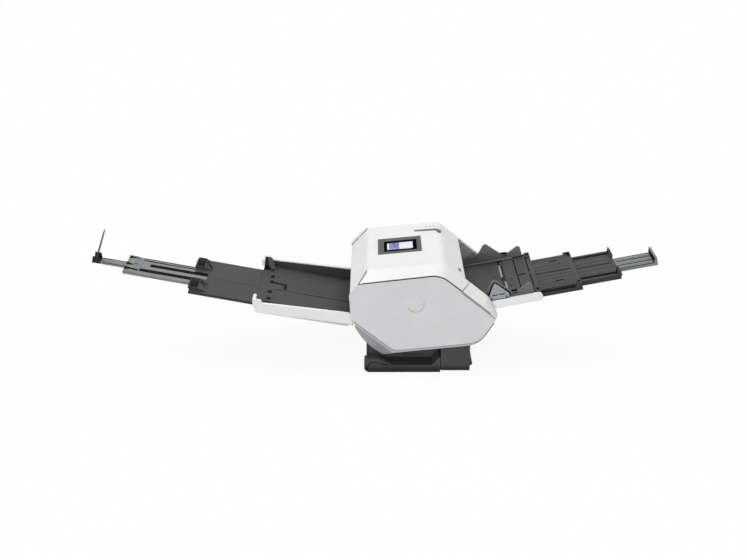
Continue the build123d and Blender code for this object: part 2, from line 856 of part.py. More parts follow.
write("upper_guide", make_upper_guide())
for name, axis, radius in (("pick", pick_axis, pick_radius), ("separation", separation_axis, 11.0)):
    write(f"{name}_shaft", bar(*axis, idler_shaft_radius, -cheek_out, cheek_out))
    write(f"{name}_tyres", *make_tyres(axis, upper_places[name], radius, idler_shaft_radius, tyre_width))
for name, axis in zip(("transport", "exit"), idler_axes):
    idler = bar(*axis, idler_shaft_radius, -cheek_out, cheek_out)
    for y in tyre_places[name]:
        idler += bar(*axis, idler_radius, y - tyre_width / 2, y + tyre_width / 2)
    write(f"{name}_idler", idler)


# Output tray: a ribbed floor between white side rims, turning on two pins in the housings
stacker_frame = Pos(stacker_pivot[0], 0, stacker_pivot[1]) * Rot(0, stacker_slope, 0)
rim_out = stacker_half_width
rim_in = rim_out - stacker_rim_width
ear_in = 140.0
floor_low = floor_top - floor_wall
extension_one = {"half": 131.0, "start": -190.0, "end": -456.0, "top": floor_low - 0.8}
rail = 3.0


def make_stacker_tray():
    dip = 2.0
    section = [
        (-rim_in, floor_top),
        (0, floor_top - dip),
        (rim_in, floor_top),
        (rim_in, floor_low),
        (-rim_in, floor_low),
    ]
    tray = across(section, stacker_end, 2)
    wall_side = [
        (2, floor_low, 0),
        (2, -9, 4),
        (-14, 15, 6),
        (-250, 0.5, 6),
        (-256, 9, 3),
        (stacker_end, 9, 3),
        (stacker_end, floor_low, 0),
    ]
    for side in (-1, 1):
        y0, y1 = sorted((side * (rim_in - 3), side * rim_in))
        tray += prism(outline(wall_side), y0, y1)
    one = extension_one
    hold = one["half"] + slide_gap
    bottom = one["top"] - 8.0
    tray += mirrored(
        (stacker_end + 6, -24, hold, hold + rail, bottom - 2.5, floor_low),
        (stacker_end + 6, -24, hold - 5, hold + rail, bottom - 2.5, bottom - slide_gap),
    )
    for y in (80, 40, -41, -92):
        tray -= block(-241, -233, y - 7, y + 7, floor_low - 1, 0)
    tray -= block(-236, -194, 34, 38, floor_low - 1, 0)
    tray -= block(-198, -194, -3, 38, floor_low - 1, 0)
    rise = across([(rim_in - 1, floor_low), (rim_in - 1, 9), (118, floor_top), (118, floor_low)], stacker_end, -220)
    arm = [(-266, rim_in), (-250, rim_in), (-228, 117), (-240, 117)]
    gusset = rise & (Pos(0, 0, -40) * extrude(make_face(Polyline(*arm, close=True).edges()), 80))
    tray += gusset + mirror(gusset, Plane.XZ)
    tray += block(-228, -2, -10, -8.5, floor_top - 3, floor_top - 0.6)
    tray -= mirrored((stacker_end - 1, -257, 136, 160, floor_top - 2.2, 0), (-243, -236, 122, 131, floor_top - 2.2, 0))
    return stacker_frame * tray


def make_stacker_rim():
    rim = [
        (6.5, -9, 5),
        (6.5, 8, 6),
        (-13, 18, 8),
        (-250, 3.5, 6),
        (-257, 11, 3),
        (-279, 10, 6),
        (-275, -8, 6),
        (-264, -24, 3),
        (-16, -22.5, 3),
        (0, -9, 3),
    ]
    piece = prism(outline(list(reversed(rim))), -rim_out, -rim_in)
    ear = [
        (stacker_end - 11.5, 10, 3),
        (stacker_end - 1, 11, 3),
        (stacker_end - 1, -8, 2),
        (stacker_end - 8, -9, 2),
    ]
    piece += prism(outline(ear), -rim_in - 1, -ear_in)
    crease = unit((-262, -24), (-4, -12))
    under = Plane(origin=(-262, -rim_out, -24), x_dir=(crease[0], 0, crease[1]), z_dir=(crease[1], -1, -crease[0]))
    piece -= under * Box(700, 60, 60, align=(Align.CENTER, Align.CENTER, Align.MIN))
    piece = stacker_frame * piece
    return piece - bar(*stacker_pivot, stacker_pin_radius + pin_gap, -rim_out - 1, -rim_in + 1)


write("stacker_tray", make_stacker_tray())
write("stacker_rims", *both_sides(make_stacker_rim))


def make_stacker_pin():
    return bar(*stacker_pivot, stacker_pin_radius, -pocket_depth - wall, -rim_in - 2)


write("stacker_pins", *both_sides(make_stacker_pin))


# Output tray extensions, each sliding in rails under the one before it
extension_two = {"half": 62.0, "start": -400.0, "end": -648.0, "top": -20.9}
extension_three = {"half": 20.0, "start": -592.0, "end": -741.0, "top": -23.0}


def make_stacker_extension_one():
    one, two = extension_one, extension_two
    top, half = one["top"], one["half"]
    body = block(one["end"], one["start"], -half, half, top - 2.5, top)
    body += mirrored((one["end"], one["start"], half - 3, half, top - 8, top))
    hold = two["half"] + slide_gap
    low = two["top"] - 7.2
    body += mirrored(
        (one["end"] + 4, one["start"] - 4, hold, hold + rail, low - 2.5, top - 2),
        (one["end"] + 4, one["start"] - 4, hold - 5, hold + rail, low - 2.5, low - slide_gap),
    )
    ramp = [
        (one["end"], top, 0),
        (one["end"] - 5, top + 4, 4),
        (one["end"], top + 9.5, 4),
        (one["end"] + 22, top + 9.5, 2),
        (one["end"] + 24, top + 7, 0),
        (one["end"] + 50, top, 0),
    ]
    for y0, y1 in ((-118, -50), (50, 118)):
        body += prism(outline(ramp), y0, y1)
    for y in (56, 64, 72):
        body -= mirrored((one["end"] + 26, one["end"] + 46, y, y + 3, top, top + 9))
    body -= block(one["end"] - 1, one["end"] + 38, -24, 24, top - 3, top + 1)
    body += block(one["end"] + 40, one["start"], -10, -8.5, top - 1, top + 0.4)
    return stacker_frame * body


def make_stacker_extension_two():
    two, three = extension_two, extension_three
    top, half = two["top"], two["half"]
    body = block(two["end"], two["start"], -half, half, top - 1.8, top)
    channel = three["half"] + slide_gap
    floor = three["top"] - 4.8 - slide_gap
    body += mirrored(
        (two["end"], two["start"], half - 2.5, half, top - 7.2, top),
        (two["end"], two["start"], channel, channel + 2.2, floor - 2, top),
        (two["end"], two["start"], channel + 2, half - 2, top - 7.2, top - 5.4),
    )
    body += block(two["end"], two["start"], -30, 30, floor - 2, floor)
    ramp = [
        (two["end"], top - 1, 0),
        (two["end"], top + 4, 1),
        (two["end"] + 20, top + 4, 6),
        (two["end"] + 50, top - 1, 0),
    ]
    body += prism(outline(ramp), -half, half)
    for far, near, tip, length in ((60, 33, 49, 30), (11, -18, -9, 26), (-26, -54, -43, 38)):
        end = two["end"] - 1
        notch = make_face(Polyline((end, far), (end, near), (end + length, tip), close=True).edges())
        body -= Pos(0, 0, top) * extrude(notch, 10)
    for y0, y1, end, deep in ((46, 49.5, -604, 1.2), (11, 27, -580, 2), (-29, -19, -607, 2)):
        body -= block(end, two["start"] - 12, y0, y1, top - deep, top + 5)
    for y in (26, -2):
        body -= Pos(-606, y, top) * Cylinder(1.6, 20)
    return stacker_frame * body


stopper_pivot = (-731.0, -13.0)
stopper_half = 17.0


def make_stacker_extension_three():
    three = extension_three
    top, half = three["top"], three["half"]
    body = block(three["end"], three["start"], -half, half, top - 4.8, top)
    for y in (-three["half"] + 2, three["half"] - 4):
        body -= block(three["end"] + 26, three["start"] - 4, y, y + 2, top - 1, top + 1)
    head = [
        (three["end"], top - 4.8, 0),
        (three["end"], -9.5, 2),
        (three["end"] + 18, -9.5, 3),
        (three["end"] + 22, top - 1, 0),
    ]
    body += prism(outline(head), -half, half)
    slot = stopper_half + slide_gap
    body -= block(three["end"] - 1, three["end"] + 30, -slot, slot, top, 5)
    body -= bar(*stopper_pivot, 2.0 + pin_gap, -half - 1, half + 1)
    return stacker_frame * body


def make_stopper():
    lean = 8.0
    height = 79.0
    blade = [
        (-stopper_half, -4.0),
        (-stopper_half, 10.0),
        (-10.0, height),
        (10.0, height),
        (stopper_half, 10.0),
        (stopper_half, -4.0),
    ]
    plate_blade = across(blade, -1.0, 1.0)
    tilt = Pos(stopper_pivot[0], 0, stopper_pivot[1]) * Rot(0, lean, 0)
    barrel = bar(0, 0, 3.0, -stopper_half, stopper_half)
    trunnions = bar(0, 0, 2.0, -extension_three["half"], extension_three["half"])
    return stacker_frame * tilt * (plate_blade + barrel + trunnions)


write("stacker_extension_1", make_stacker_extension_one())
write("stacker_extension_2", make_stacker_extension_two())
write("stacker_extension_3", make_stacker_extension_three())
write("stopper", make_stopper())


# Feed tray: the lifting table, its white side trims and the nut arm on its lift screw
hopper_frame = Pos(hopper_origin[0], 0, hopper_origin[1]) * Rot(0, -hopper_slope, 0)
table_wall = 4.0
trim_in = hopper_half_width - hopper_trim_width
feed_one = {"half": 128.0, "start": 92.0, "end": 307.0, "top": -8.5, "low": -27.3}
feed_two = {"half": 99.0, "start": 243.0, "end": 418.0, "top": -14.0, "low": -27.8}
feed_three = {"half": 44.5, "start": 364.0, "end": 529.0, "top": -20.5, "low": -28.3}
slot_s = (96.0, 108.0)
slot_middle = sum(slot_s) / 2
slot_half = 149.3
rack_low = -8.1


def rails_under(body, ext, start, end, top):
    """Rails with lips that carry the next extension."""
    hold = ext["half"] + slide_gap
    bottom = ext["low"] - slide_gap
    return body + mirrored(
        (start, end, hold, hold + rail, bottom - 2.5, top),
        (start, end, hold - 6, hold + rail, bottom - 2.5, bottom),
    )


def make_hopper_table():
    table = block(hopper_left, hopper_end, -trim_in, trim_in, -table_wall, 0)
    table += mirrored(
        (hopper_left, hopper_end, trim_in - 4, trim_in, -22, 0),
        (hopper_end - 10, hopper_end, feed_one["half"] + slide_gap, trim_in, -22, 0),
    )
    corner_edges = table.edges().filter_by(Axis.Z).sort_by(Axis.X)[-4:]
    table = fillet(corner_edges, 5)
    table = rails_under(table, feed_one, 60, hopper_end - 2, -table_wall)
    table -= block(*slot_s, -slot_half, slot_half, -10, 1)
    table -= block(slot_s[0] - 11, slot_s[1] + 11, -slot_half - 3, slot_half + 3, rack_low, -table_wall)
    for y0, y1 in ((-trim_in + 24, -8), (8, trim_in - 24)):
        table -= block(141, 142.5, y0, y1, -1.2, 1)
        table -= block(176.5, 178, y0, y1, -1.2, 1)
    table -= block(140, 166, -1.5, 1.5, -2.5, 1)
    for s, y in ((80, 14), (122, -20), (121, -72)):
        table -= block(s - 5, s + 5, y - 2, y + 2, -1.5, 1)
    table += mirrored((hopper_end - 15, hopper_end, 122, trim_in, -1, 4.5))
    table -= mirrored(
        (145, hopper_end - 15, 143, trim_in - 1, -2.6, 5),
        (hopper_end - 12, hopper_end - 3, 130, 148, -3, 5),
    )
    table = hopper_frame * table
    arm_top = 160.0
    table += block(lift_screw_x - 9, 104, -6, 6, arm_top - 14, arm_top)
    table += block(94, 104, -6, 6, arm_top - 14, arm_top + 8)
    table -= Pos(lift_screw_x, 0, arm_top - 7) * Cylinder(lift_screw_radius + pin_gap, 20)
    return table


def make_hopper_trim():
    trim = [
        (hopper_left + 4, -22, 3),
        (hopper_left + 4, 1, 2),
        (hopper_end - 4, 1, 7),
        (hopper_end + 2, -7, 6),
        (hopper_end + 1, -21, 8),
    ]
    return hopper_frame * prism(outline(trim), -hopper_half_width, -trim_in)


write("hopper_table", make_hopper_table())
write("hopper_trims", *both_sides(make_hopper_trim))
lift_motor_height = (88.0, 112.0)
lift_motor = Pos(lift_screw_x, 0, sum(lift_motor_height) / 2) * Cylinder(
    18, lift_motor_height[1] - lift_motor_height[0]
)
lift_motor -= Pos(lift_screw_x, 0, lift_motor_height[1]) * Cylinder(lift_screw_radius + pin_gap, 10)
write("lift_motor", lift_motor)
screw_top = path_z(lift_screw_x, -sheet_wall) - 0.8
screw_bottom = lift_motor_height[1] - 4.8
write(
    "lift_screw",
    Pos(lift_screw_x, 0, (screw_top + screw_bottom) / 2) * Cylinder(lift_screw_radius, screw_top - screw_bottom),
)


# Side guides: two-peaked fins on feet, each with a leg through the table's cross slot
GUIDE = [
    (-10, slide_gap, 0),
    (-10, 11, 3),
    (46, 28.7, 20),
    (64, 52, 6),
    (72, 55, 5),
    (108, 20, 16),
    (132, 15, 16),
    (160, 31, 8),
    (169, 28, 4),
    (172, slide_gap, 0),
]
lever_axis_y = -side_guide_y - side_guide_wall / 2 - 4.0
lever_axis_t = 4.5


def make_side_guide(rack_side, rack_reach):
    y0 = -side_guide_y - side_guide_wall / 2
    y1 = -side_guide_y + side_guide_wall / 2
    fin = prism(outline(GUIDE), y0, y1)
    fin += block(-8, 142, y1, y1 + 8, slide_gap, 2.0)
    for y in (y0, y1):
        fin -= block(114, 128, y - 2, y + 2, 8, 10.5)
    leg = (slot_s[0] + slide_gap, slot_s[1] - slide_gap)
    fin += block(leg[0] - 10, leg[1] + 10, y1, y1 + 40, -table_wall - 3.6, -table_wall - slide_gap)
    edges = sorted((leg[0] if rack_side < 0 else leg[1], slot_middle + rack_side * slide_gap))
    fin += block(*edges, y1, y1 + 6, -table_wall - 3.6, 1)
    fin += block(*edges, y1, rack_reach, -table_wall + slide_gap, -1)
    return fin


side_fin = make_side_guide(1, -54)
far_fin = mirror(make_side_guide(-1, -3), Plane.XZ)
ears = None
for s in (54.0, 96.0):
    ear = block(s, s + 3, lever_axis_y - 3, -side_guide_y - 2, 1.4, 8)
    ear -= Pos(s + 1.5, lever_axis_y, lever_axis_t) * Rot(0, 90, 0) * Cylinder(1.5 + pin_gap, 8)
    side_fin += ear
write("near_guide", hopper_frame * side_fin)
write("far_guide", hopper_frame * far_fin)


# Guide lever: the squeeze lever on the near guide's outer face
def make_lever():
    face = [
        (50, lever_axis_t, 0),
        (50, 12, 3),
        (67, 44, 3),
        (71, 48, 2),
        (77, 44, 3),
        (105, 14, 4),
        (105, lever_axis_t, 0),
    ]
    lever = prism(outline(face), lever_axis_y - 1.2, lever_axis_y + 1.2)
    for s in (60.0, 79.0):
        lever -= block(s, s + 15, lever_axis_y - 3, lever_axis_y + 3, 13, 16)
    for s in (54.0, 96.0):
        lever -= block(s - slide_gap, s + 3 + slide_gap, lever_axis_y - 3, lever_axis_y + 3, 0, 8 + slide_gap)
    hinge_bar = Pos(76.5, lever_axis_y, lever_axis_t) * Rot(0, 90, 0)
    lever += hinge_bar * Cylinder(1.5, 52)
    lever += hinge_bar * Cylinder(2.4, 37)
    return hopper_frame * lever


write("guide_lever", make_lever())


# Feed tray extensions, nested one in the next
def make_feed_extension(ext, following):
    top, low, half = ext["top"], ext["low"], ext["half"]
    body = block(ext["start"], ext["end"], -half, half, top - 2.6, top)
    body += mirrored((ext["start"], ext["end"], half - 3, half, low, top))
    if following:
        body = rails_under(body, following, ext["start"] + 30, ext["end"] - 3, top - 2)
    return body


def make_feed_one():
    ext = feed_one
    body = make_feed_extension(ext, feed_two)
    half, top, end = ext["half"], ext["top"], ext["end"]
    shelf = top - 7.5
    body -= mirrored((ext["start"] + 6, end - 20, half - 9, half + 1, shelf, top + 1))
    body += mirrored(
        (ext["start"], end, half - 12, half - 9, shelf - 2.6, top),
        (ext["start"], end, half - 12, half, shelf - 2.6, shelf),
        (end - 20, end, half - 9, half, shelf, top + 3),
        (end - 3, end, half - 30, half - 9, top, top + 3),
    )
    body -= mirrored((end - 17, end - 4, half - 7, half - 2, top - 5, top + 5))
    for y in (81, -75):
        scoop = Pos((240 + 265) / 2, y, top) * extrude(SlotOverall(25, 8), 5, both=True)
        body -= scoop
    for y in (-104, -86, -52, -26, 0, 26, 52, 90, 104):
        deep, across_y = (2.0, 1.7) if y == 0 else (1.0, 1.0)
        body -= block(ext["start"] + 12, end - 14, y - across_y, y + across_y, top - deep, top + 1)
    return hopper_frame * body


def make_feed_two():
    ext = feed_two
    body = make_feed_extension(ext, feed_three)
    half, top, end = ext["half"], ext["top"], ext["end"]
    peak, base, height = 78.0, 20.0, 18.7
    profile = [
        (end - 7, top - 2, 0),
        (end - 6, top + height, 1),
        (end - 3.5, top + height, 1),
        (end + 3, top + 2, 2),
        (end + 3, top - 6, 2),
        (end - 7, top - 6, 0),
    ]
    spread = [
        (peak - base, top - 6),
        (peak - base, top),
        (peak - 2, top + height),
        (peak + 2, top + height),
        (peak + base, top),
        (peak + base, top - 6),
    ]
    tab = prism(outline(profile), 0, half) & across(spread, end - 10, end + 10)
    body += tab + mirror(tab, Plane.XZ)
    body -= block(end - 11, end + 1, -50, 50, top - 2, top + 1)
    body += mirrored((ext["start"], end - 8, 70, half, top - 11, top - 9))
    body -= mirrored((ext["start"] + 20, end - 8, 72, 81, top - 3, top + 1))
    for y in (-60, -30, 0, 30, 60):
        deep, across_y = (1.8, 1.6) if y == 0 else (1.0, 1.0)
        body -= block(ext["start"] + 20, end - 12, y - across_y, y + across_y, top - deep, top + 1)
    return hopper_frame * body


def make_feed_three():
    ext = feed_three
    body = make_feed_extension(ext, None)
    half, top, end = ext["half"], ext["top"], ext["end"]
    wall_side = [
        (end - 9, ext["low"], 0),
        (end - 9, top + 2, 2),
        (end - 6, top + 16, 2),
        (end, top + 16, 2),
        (end, ext["low"], 2),
    ]
    body += prism(outline(wall_side), -half, half)
    for y in (-28, 0, 28):
        body += block(ext["start"] + 60, end - 8, y - 4, y + 4, top - 1, top + 1.2)
    body -= mirrored((ext["start"] + 60, end - 9, 14, 17, top - 1.6, top + 1))
    return hopper_frame * body


write("hopper_extension_1", make_feed_one())
write("hopper_extension_2", make_feed_two())
write("hopper_extension_3", make_feed_three())
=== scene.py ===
import bpy
import bmesh
import math
from mathutils import Matrix, Vector


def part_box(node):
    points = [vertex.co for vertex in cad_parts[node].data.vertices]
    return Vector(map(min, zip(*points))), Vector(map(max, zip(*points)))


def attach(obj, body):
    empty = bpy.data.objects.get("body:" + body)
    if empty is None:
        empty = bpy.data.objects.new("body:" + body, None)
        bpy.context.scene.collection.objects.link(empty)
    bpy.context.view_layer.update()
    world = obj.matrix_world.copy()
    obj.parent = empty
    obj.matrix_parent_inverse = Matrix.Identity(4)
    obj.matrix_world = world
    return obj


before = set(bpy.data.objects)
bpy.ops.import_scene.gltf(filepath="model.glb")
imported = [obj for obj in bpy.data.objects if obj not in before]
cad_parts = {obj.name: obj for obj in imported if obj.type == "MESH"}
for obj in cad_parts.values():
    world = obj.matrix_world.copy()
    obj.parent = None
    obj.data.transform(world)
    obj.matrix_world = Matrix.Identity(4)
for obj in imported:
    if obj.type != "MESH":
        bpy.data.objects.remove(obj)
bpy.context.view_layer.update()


# The cradle base is the foot that the whole machine stands on.
# It is injection-moulded ABS in near-black, with a fine spark-eroded grain,
# closed underneath by a zinc-plated steel plate that six screws hold, and standing on four rubber pads.
def linear(code, dim=1.0):
    """The linear colour for an sRGB hex value, dimmed by a factor."""
    parts = [int(code[i:i + 2], 16) / 255 for i in (1, 3, 5)]
    return tuple(dim * (c / 12.92 if c < 0.04045 else ((c + 0.055) / 1.055) ** 2.4) for c in parts) + (1.0,)


def add(material, kind, settings=(), links=()):
    """A new node of one kind, with its settings and its incoming links."""
    node = material.node_tree.nodes.new(kind)
    for key, value in dict(settings).items():
        if isinstance(key, int) or key in node.inputs:
            node.inputs[key].default_value = value
        else:
            setattr(node, key, value)
    for key, source in dict(links).items():
        material.node_tree.links.new(source, node.inputs[key])
    return node


def new_material(name):
    """A material with an empty node tree, and the socket of its object coordinates."""
    material = bpy.data.materials.new(name)
    material.use_nodes = True
    material.node_tree.nodes.clear()
    return material, add(material, "ShaderNodeTexCoord").outputs["Object"]


def moulded(name, shade, worn, grain_mm, depth_mm, roughness, edge_mm=0.7, mirror=0.2, second=None):
    """Moulded plastic: spark-eroded grain, faint flow shading, soft polished edges, and painted shade that darkens
    its corners and crevices.

    second gives another shade, and the axis and the two places in metres between which it turns into the first.
    """
    material, place = new_material(name)
    # Flow shading comes in clouds about 110 mm across
    flow = add(material, "ShaderNodeTexNoise", {"Scale": 9.0, "Detail": 3.0, "Roughness": 0.55}, {"Vector": place})
    grain = add(material, "ShaderNodeTexNoise", {"Scale": 1000 / grain_mm, "Detail": 2.0}, {"Vector": place})
    # An edge is where the rounded normal leaves the flat one
    rounded = add(material, "ShaderNodeBevel", {"samples": 4, "Radius": edge_mm / 1000})
    flat = add(material, "ShaderNodeNewGeometry").outputs["Normal"]
    turn = add(material, "ShaderNodeVectorMath", {"operation": "DOT_PRODUCT"}, {0: rounded.outputs[0], 1: flat})
    edge = add(
        material, "ShaderNodeMapRange",
        {"From Min": 0.998, "From Max": 0.90, "To Min": 0.0, "To Max": 0.6}, {"Value": turn.outputs["Value"]},
    )
    mottle = add(material, "ShaderNodeMapRange", {"From Min": 0.3, "From Max": 0.7}, {"Value": flow.outputs["Fac"]})
    body = add(
        material, "ShaderNodeMix", {"data_type": "RGBA", 6: linear(shade, 0.93), 7: linear(shade)},
        {0: mottle.outputs[0]},
    )
    if second:
        other, axis, start, end = second
        along = add(material, "ShaderNodeSeparateXYZ", {}, {0: place})
        share = add(
            material, "ShaderNodeMapRange", {"From Min": start, "From Max": end, "interpolation_type": "SMOOTHSTEP"},
            {"Value": along.outputs[axis]},
        )
        body = add(
            material, "ShaderNodeMix", {"data_type": "RGBA", 6: linear(other)},
            {0: share.outputs[0], 7: body.outputs[2]},
        )
    colour = add(
        material, "ShaderNodeMix", {"data_type": "RGBA", 7: linear(worn)},
        {0: edge.outputs[0], 6: body.outputs[2]},
    )
    # Painted shade: the colour darkens nearly to black in corners, crevices and seams
    corner = add(material, "ShaderNodeAmbientOcclusion", {"samples": 6, "Distance": 0.005})
    corner_shade = add(
        material, "ShaderNodeMapRange", {"From Min": 0.2, "From Max": 0.75, "To Min": 0.12, "To Max": 1.0},
        {"Value": corner.outputs["AO"]},
    )
    shaded = add(
        material, "ShaderNodeMix", {"data_type": "RGBA", 6: linear(shade, 0.1)},
        {0: corner_shade.outputs[0], 7: colour.outputs[2]},
    )
    gloss = add(
        material, "ShaderNodeMapRange", {"To Min": roughness - 0.05, "To Max": roughness + 0.06},
        {"Value": grain.outputs["Fac"]},
    )
    bump = add(
        material, "ShaderNodeBump", {"Strength": 0.5, "Distance": depth_mm / 1000},
        {"Height": grain.outputs["Fac"], "Normal": rounded.outputs[0]},
    )
    surface = add(
        material, "ShaderNodeBsdfPrincipled", {"IOR": 1.5, "Specular IOR Level": mirror},
        {"Base Color": shaded.outputs[2], "Roughness": gloss.outputs[0], "Normal": bump.outputs[0]},
    )
    add(material, "ShaderNodeOutputMaterial", {}, {"Surface": surface.outputs[0]})
    return material


def dress(material, *nodes):
    """Give pieces of the frame one material."""
    for name in nodes:
        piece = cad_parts[name]
        piece.data.materials.clear()
        piece.data.materials.append(material)


# Black ABS: the grain breaks up reflections, so it reads as near-black with a soft sheen;
# the base's has painted shade: it is a shade lighter at the top and darkens towards the floor
black_abs = moulded("black_grained_abs", "#2C2C2D", "#444446", grain_mm=0.9, depth_mm=0.05, roughness=0.48)
base_abs = moulded(
    "base_black_abs", "#4A4A4B", "#4C4C4E", grain_mm=0.9, depth_mm=0.05, roughness=0.5,
    second=("#161617", "Z", 0.004, 0.028),
)
dress(base_abs, "base_cradle")


def rubber(name, shade, grain_mm, dusty="#3A3A3A", mirror=0.3):
    """Moulded rubber: matt, with a fine pitted skin that holds dust."""
    material, place = new_material(name)
    pits = add(material, "ShaderNodeTexNoise", {"Scale": 1000 / grain_mm, "Detail": 4.0}, {"Vector": place})
    tone = add(
        material, "ShaderNodeMix", {"data_type": "RGBA", 6: linear(shade), 7: linear(dusty)},
        {0: pits.outputs["Fac"]},
    )
    bump = add(material, "ShaderNodeBump", {"Strength": 0.4, "Distance": 0.0002}, {"Height": pits.outputs["Fac"]})
    surface = add(
        material, "ShaderNodeBsdfPrincipled", {"Roughness": 0.85, "IOR": 1.52, "Specular IOR Level": mirror},
        {"Base Color": tone.outputs[2], "Normal": bump.outputs[0]},
    )
    add(material, "ShaderNodeOutputMaterial", {}, {"Surface": surface.outputs[0]})
    return material


# Nitrile rubber: matt black with a dusty look
black_rubber = rubber("nitrile_rubber", "#161616", grain_mm=1.2)
dress(black_rubber, "base_pads")


def metal(name, shade, scratch_mm, stretch, roughness):
    """Worked steel: fine scratches, drawn out along the axis whose stretch is small."""
    material, place = new_material(name)
    along = add(material, "ShaderNodeMapping", {"Scale": stretch}, {"Vector": place})
    lines = add(
        material, "ShaderNodeTexNoise", {"Scale": 1000 / scratch_mm, "Detail": 3.0}, {"Vector": along.outputs[0]},
    )
    # Dull clouds about 25 mm across
    cloud = add(material, "ShaderNodeTexNoise", {"Scale": 40.0, "Detail": 2.0}, {"Vector": place})
    gloss = add(
        material, "ShaderNodeMapRange", {"To Min": roughness - 0.08, "To Max": roughness + 0.12},
        {"Value": lines.outputs["Fac"]},
    )
    tone = add(
        material, "ShaderNodeMix", {"data_type": "RGBA", 6: linear(shade, 0.8), 7: linear(shade)},
        {0: cloud.outputs["Fac"]},
    )
    bump = add(material, "ShaderNodeBump", {"Strength": 0.15, "Distance": 0.0001}, {"Height": lines.outputs["Fac"]})
    surface = add(
        material, "ShaderNodeBsdfPrincipled", {"Metallic": 1.0},
        {"Base Color": tone.outputs[2], "Roughness": gloss.outputs[0], "Normal": bump.outputs[0]},
    )
    add(material, "ShaderNodeOutputMaterial", {}, {"Surface": surface.outputs[0]})
    return material


# Zinc-plated sheet: pale, slightly cloudy, drawn along X by the rolling mill
zinc_sheet = metal("zinc_plated_sheet", "#B9BCBF", scratch_mm=1.0, stretch=(0.1, 1.0, 1.0), roughness=0.38)
dress(zinc_sheet, "base_plate")
# Case-hardened steel screws with a black zinc finish: dark, with a metal glint
black_zinc = metal("black_zinc_steel", "#3C3D3F", scratch_mm=0.4, stretch=(1.0, 1.0, 1.0), roughness=0.42)


def settle(name, body, material, place):
    """Put the new piece in its sloping frame, keep its place in its mesh, and fix it to its body."""
    piece = bpy.context.object
    piece.name = piece.data.name = name
    piece.matrix_world = place @ piece.matrix_world
    bpy.ops.object.transform_apply(location=True, rotation=True, scale=True)
    piece.data.materials.append(material)
    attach(piece, body)
    return piece


def round_edges(width_mm, segments=2):
    """Bevel every sharp edge of the new piece."""
    bevel = bpy.context.object.modifiers.new("soft_edges", "BEVEL")
    bevel.width = width_mm / 1000
    bevel.segments = segments
    bevel.limit_method = "ANGLE"
    bpy.ops.object.modifier_apply(modifier=bevel.name)
    bpy.ops.object.shade_smooth_by_angle(angle=math.radians(40))


def pick_top():
    """Start editing the new piece with only its highest face selected."""
    bpy.ops.object.mode_set(mode="EDIT")
    bpy.ops.mesh.select_mode(type="FACE")
    bpy.ops.mesh.select_all(action="DESELECT")
    shape = bmesh.from_edit_mesh(bpy.context.object.data)
    max(shape.faces, key=lambda face: face.calc_center_median().z).select_set(True)
    bmesh.update_edit_mesh(bpy.context.object.data)


def screw(name, body, at, turn, head_mm):
    """Pan-head screw with a round socket: at in metres, turn stands its axis on the surface."""
    bpy.ops.object.select_all(action="DESELECT")
    bpy.ops.mesh.primitive_cylinder_add(vertices=24, radius=head_mm / 2000, depth=head_mm / 2500)
    pick_top()
    # The crown rises inside a collar, and the socket sinks inside the crown
    bpy.ops.mesh.inset(thickness=head_mm / 8000)
    bpy.ops.transform.translate(value=(0, 0, head_mm / 9000))
    bpy.ops.mesh.inset(thickness=head_mm / 8000)
    bpy.ops.transform.translate(value=(0, 0, -head_mm / 3500))
    bpy.ops.object.mode_set(mode="OBJECT")
    round_edges(0.15)
    settle(name, body, black_zinc, Matrix.Translation(at) @ turn)


plate_low, plate_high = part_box("base_plate")
underside = Matrix.Rotation(math.pi, 4, "X")
from_edge, head_height = 0.012, 0.0018
for i, share in enumerate((0.1, 0.5, 0.9)):
    x = plate_low[0] + share * (plate_high[0] - plate_low[0])
    for side, y in (("near", plate_low[1] + from_edge), ("far", plate_high[1] - from_edge)):
        screw(f"base_screw_{side}_{i + 1}", "base", (x, y, head_height), underside, head_mm=5.0)


# Inside: steel side plates and shafts, rubber-tyred rollers, the belt drive and the scanning units.
# The plates are punched zinc-plated sheet, the shafts ground bar, the tyres soft rubber
# glued to their hubs; they show through the paper mouths and when the cover is open.
dress(zinc_sheet, "near_side_plate", "far_side_plate", "case_screws", "power_supply")
# Ground bar: bright, with fine scratches along the shafts
ground_steel = metal("ground_steel_bar", "#C8CACC", scratch_mm=0.5, stretch=(1.0, 0.05, 1.0), roughness=0.25)
dress(
    ground_steel, "cover_hinge_pins", "stacker_pins", "feed_shaft", "transport_shaft", "exit_shaft",
    "pick_shaft", "separation_shaft", "transport_idler", "exit_idler", "motor_pulley", "lift_screw",
    "main_motor", "lift_motor",
)
# Cast polyurethane: mid-grey and quite matt, as its grip needs
grey_rubber = rubber("polyurethane_roller_rubber", "#4A4B4D", grain_mm=0.8)
dress(grey_rubber, "feed_tyres", "transport_tyres", "exit_tyres", "pick_tyres", "separation_tyres")
dress(black_rubber, "drive_belt")
dress(black_abs, "lower_camera", "upper_camera")


def glass(name, tint, clear, mirror):
    """Polished glass with a faint haze of fingerprints."""
    material, place = new_material(name)
    smear = add(material, "ShaderNodeTexNoise", {"Scale": 60.0, "Detail": 4.0}, {"Vector": place})
    gloss = add(
        material, "ShaderNodeMapRange", {"From Min": 0.4, "From Max": 0.8, "To Min": 0.04, "To Max": 0.14},
        {"Value": smear.outputs["Fac"]},
    )
    tone = add(
        material, "ShaderNodeMix", {"data_type": "RGBA", 6: linear(tint), 7: linear("#0E0F11")},
        {0: smear.outputs["Fac"]},
    )
    surface = add(
        material, "ShaderNodeBsdfPrincipled",
        {"IOR": 1.5, "Transmission Weight": clear, "Specular IOR Level": mirror},
        {"Base Color": tone.outputs[2], "Roughness": gloss.outputs[0]},
    )
    add(material, "ShaderNodeOutputMaterial", {}, {"Surface": surface.outputs[0]})
    return material


# Float glass over the scanning lines: clear, with the slight green of its iron
dress(glass("scanner_glass", "#C9D6D2", clear=0.9, mirror=0.5), "lower_glass", "upper_glass")


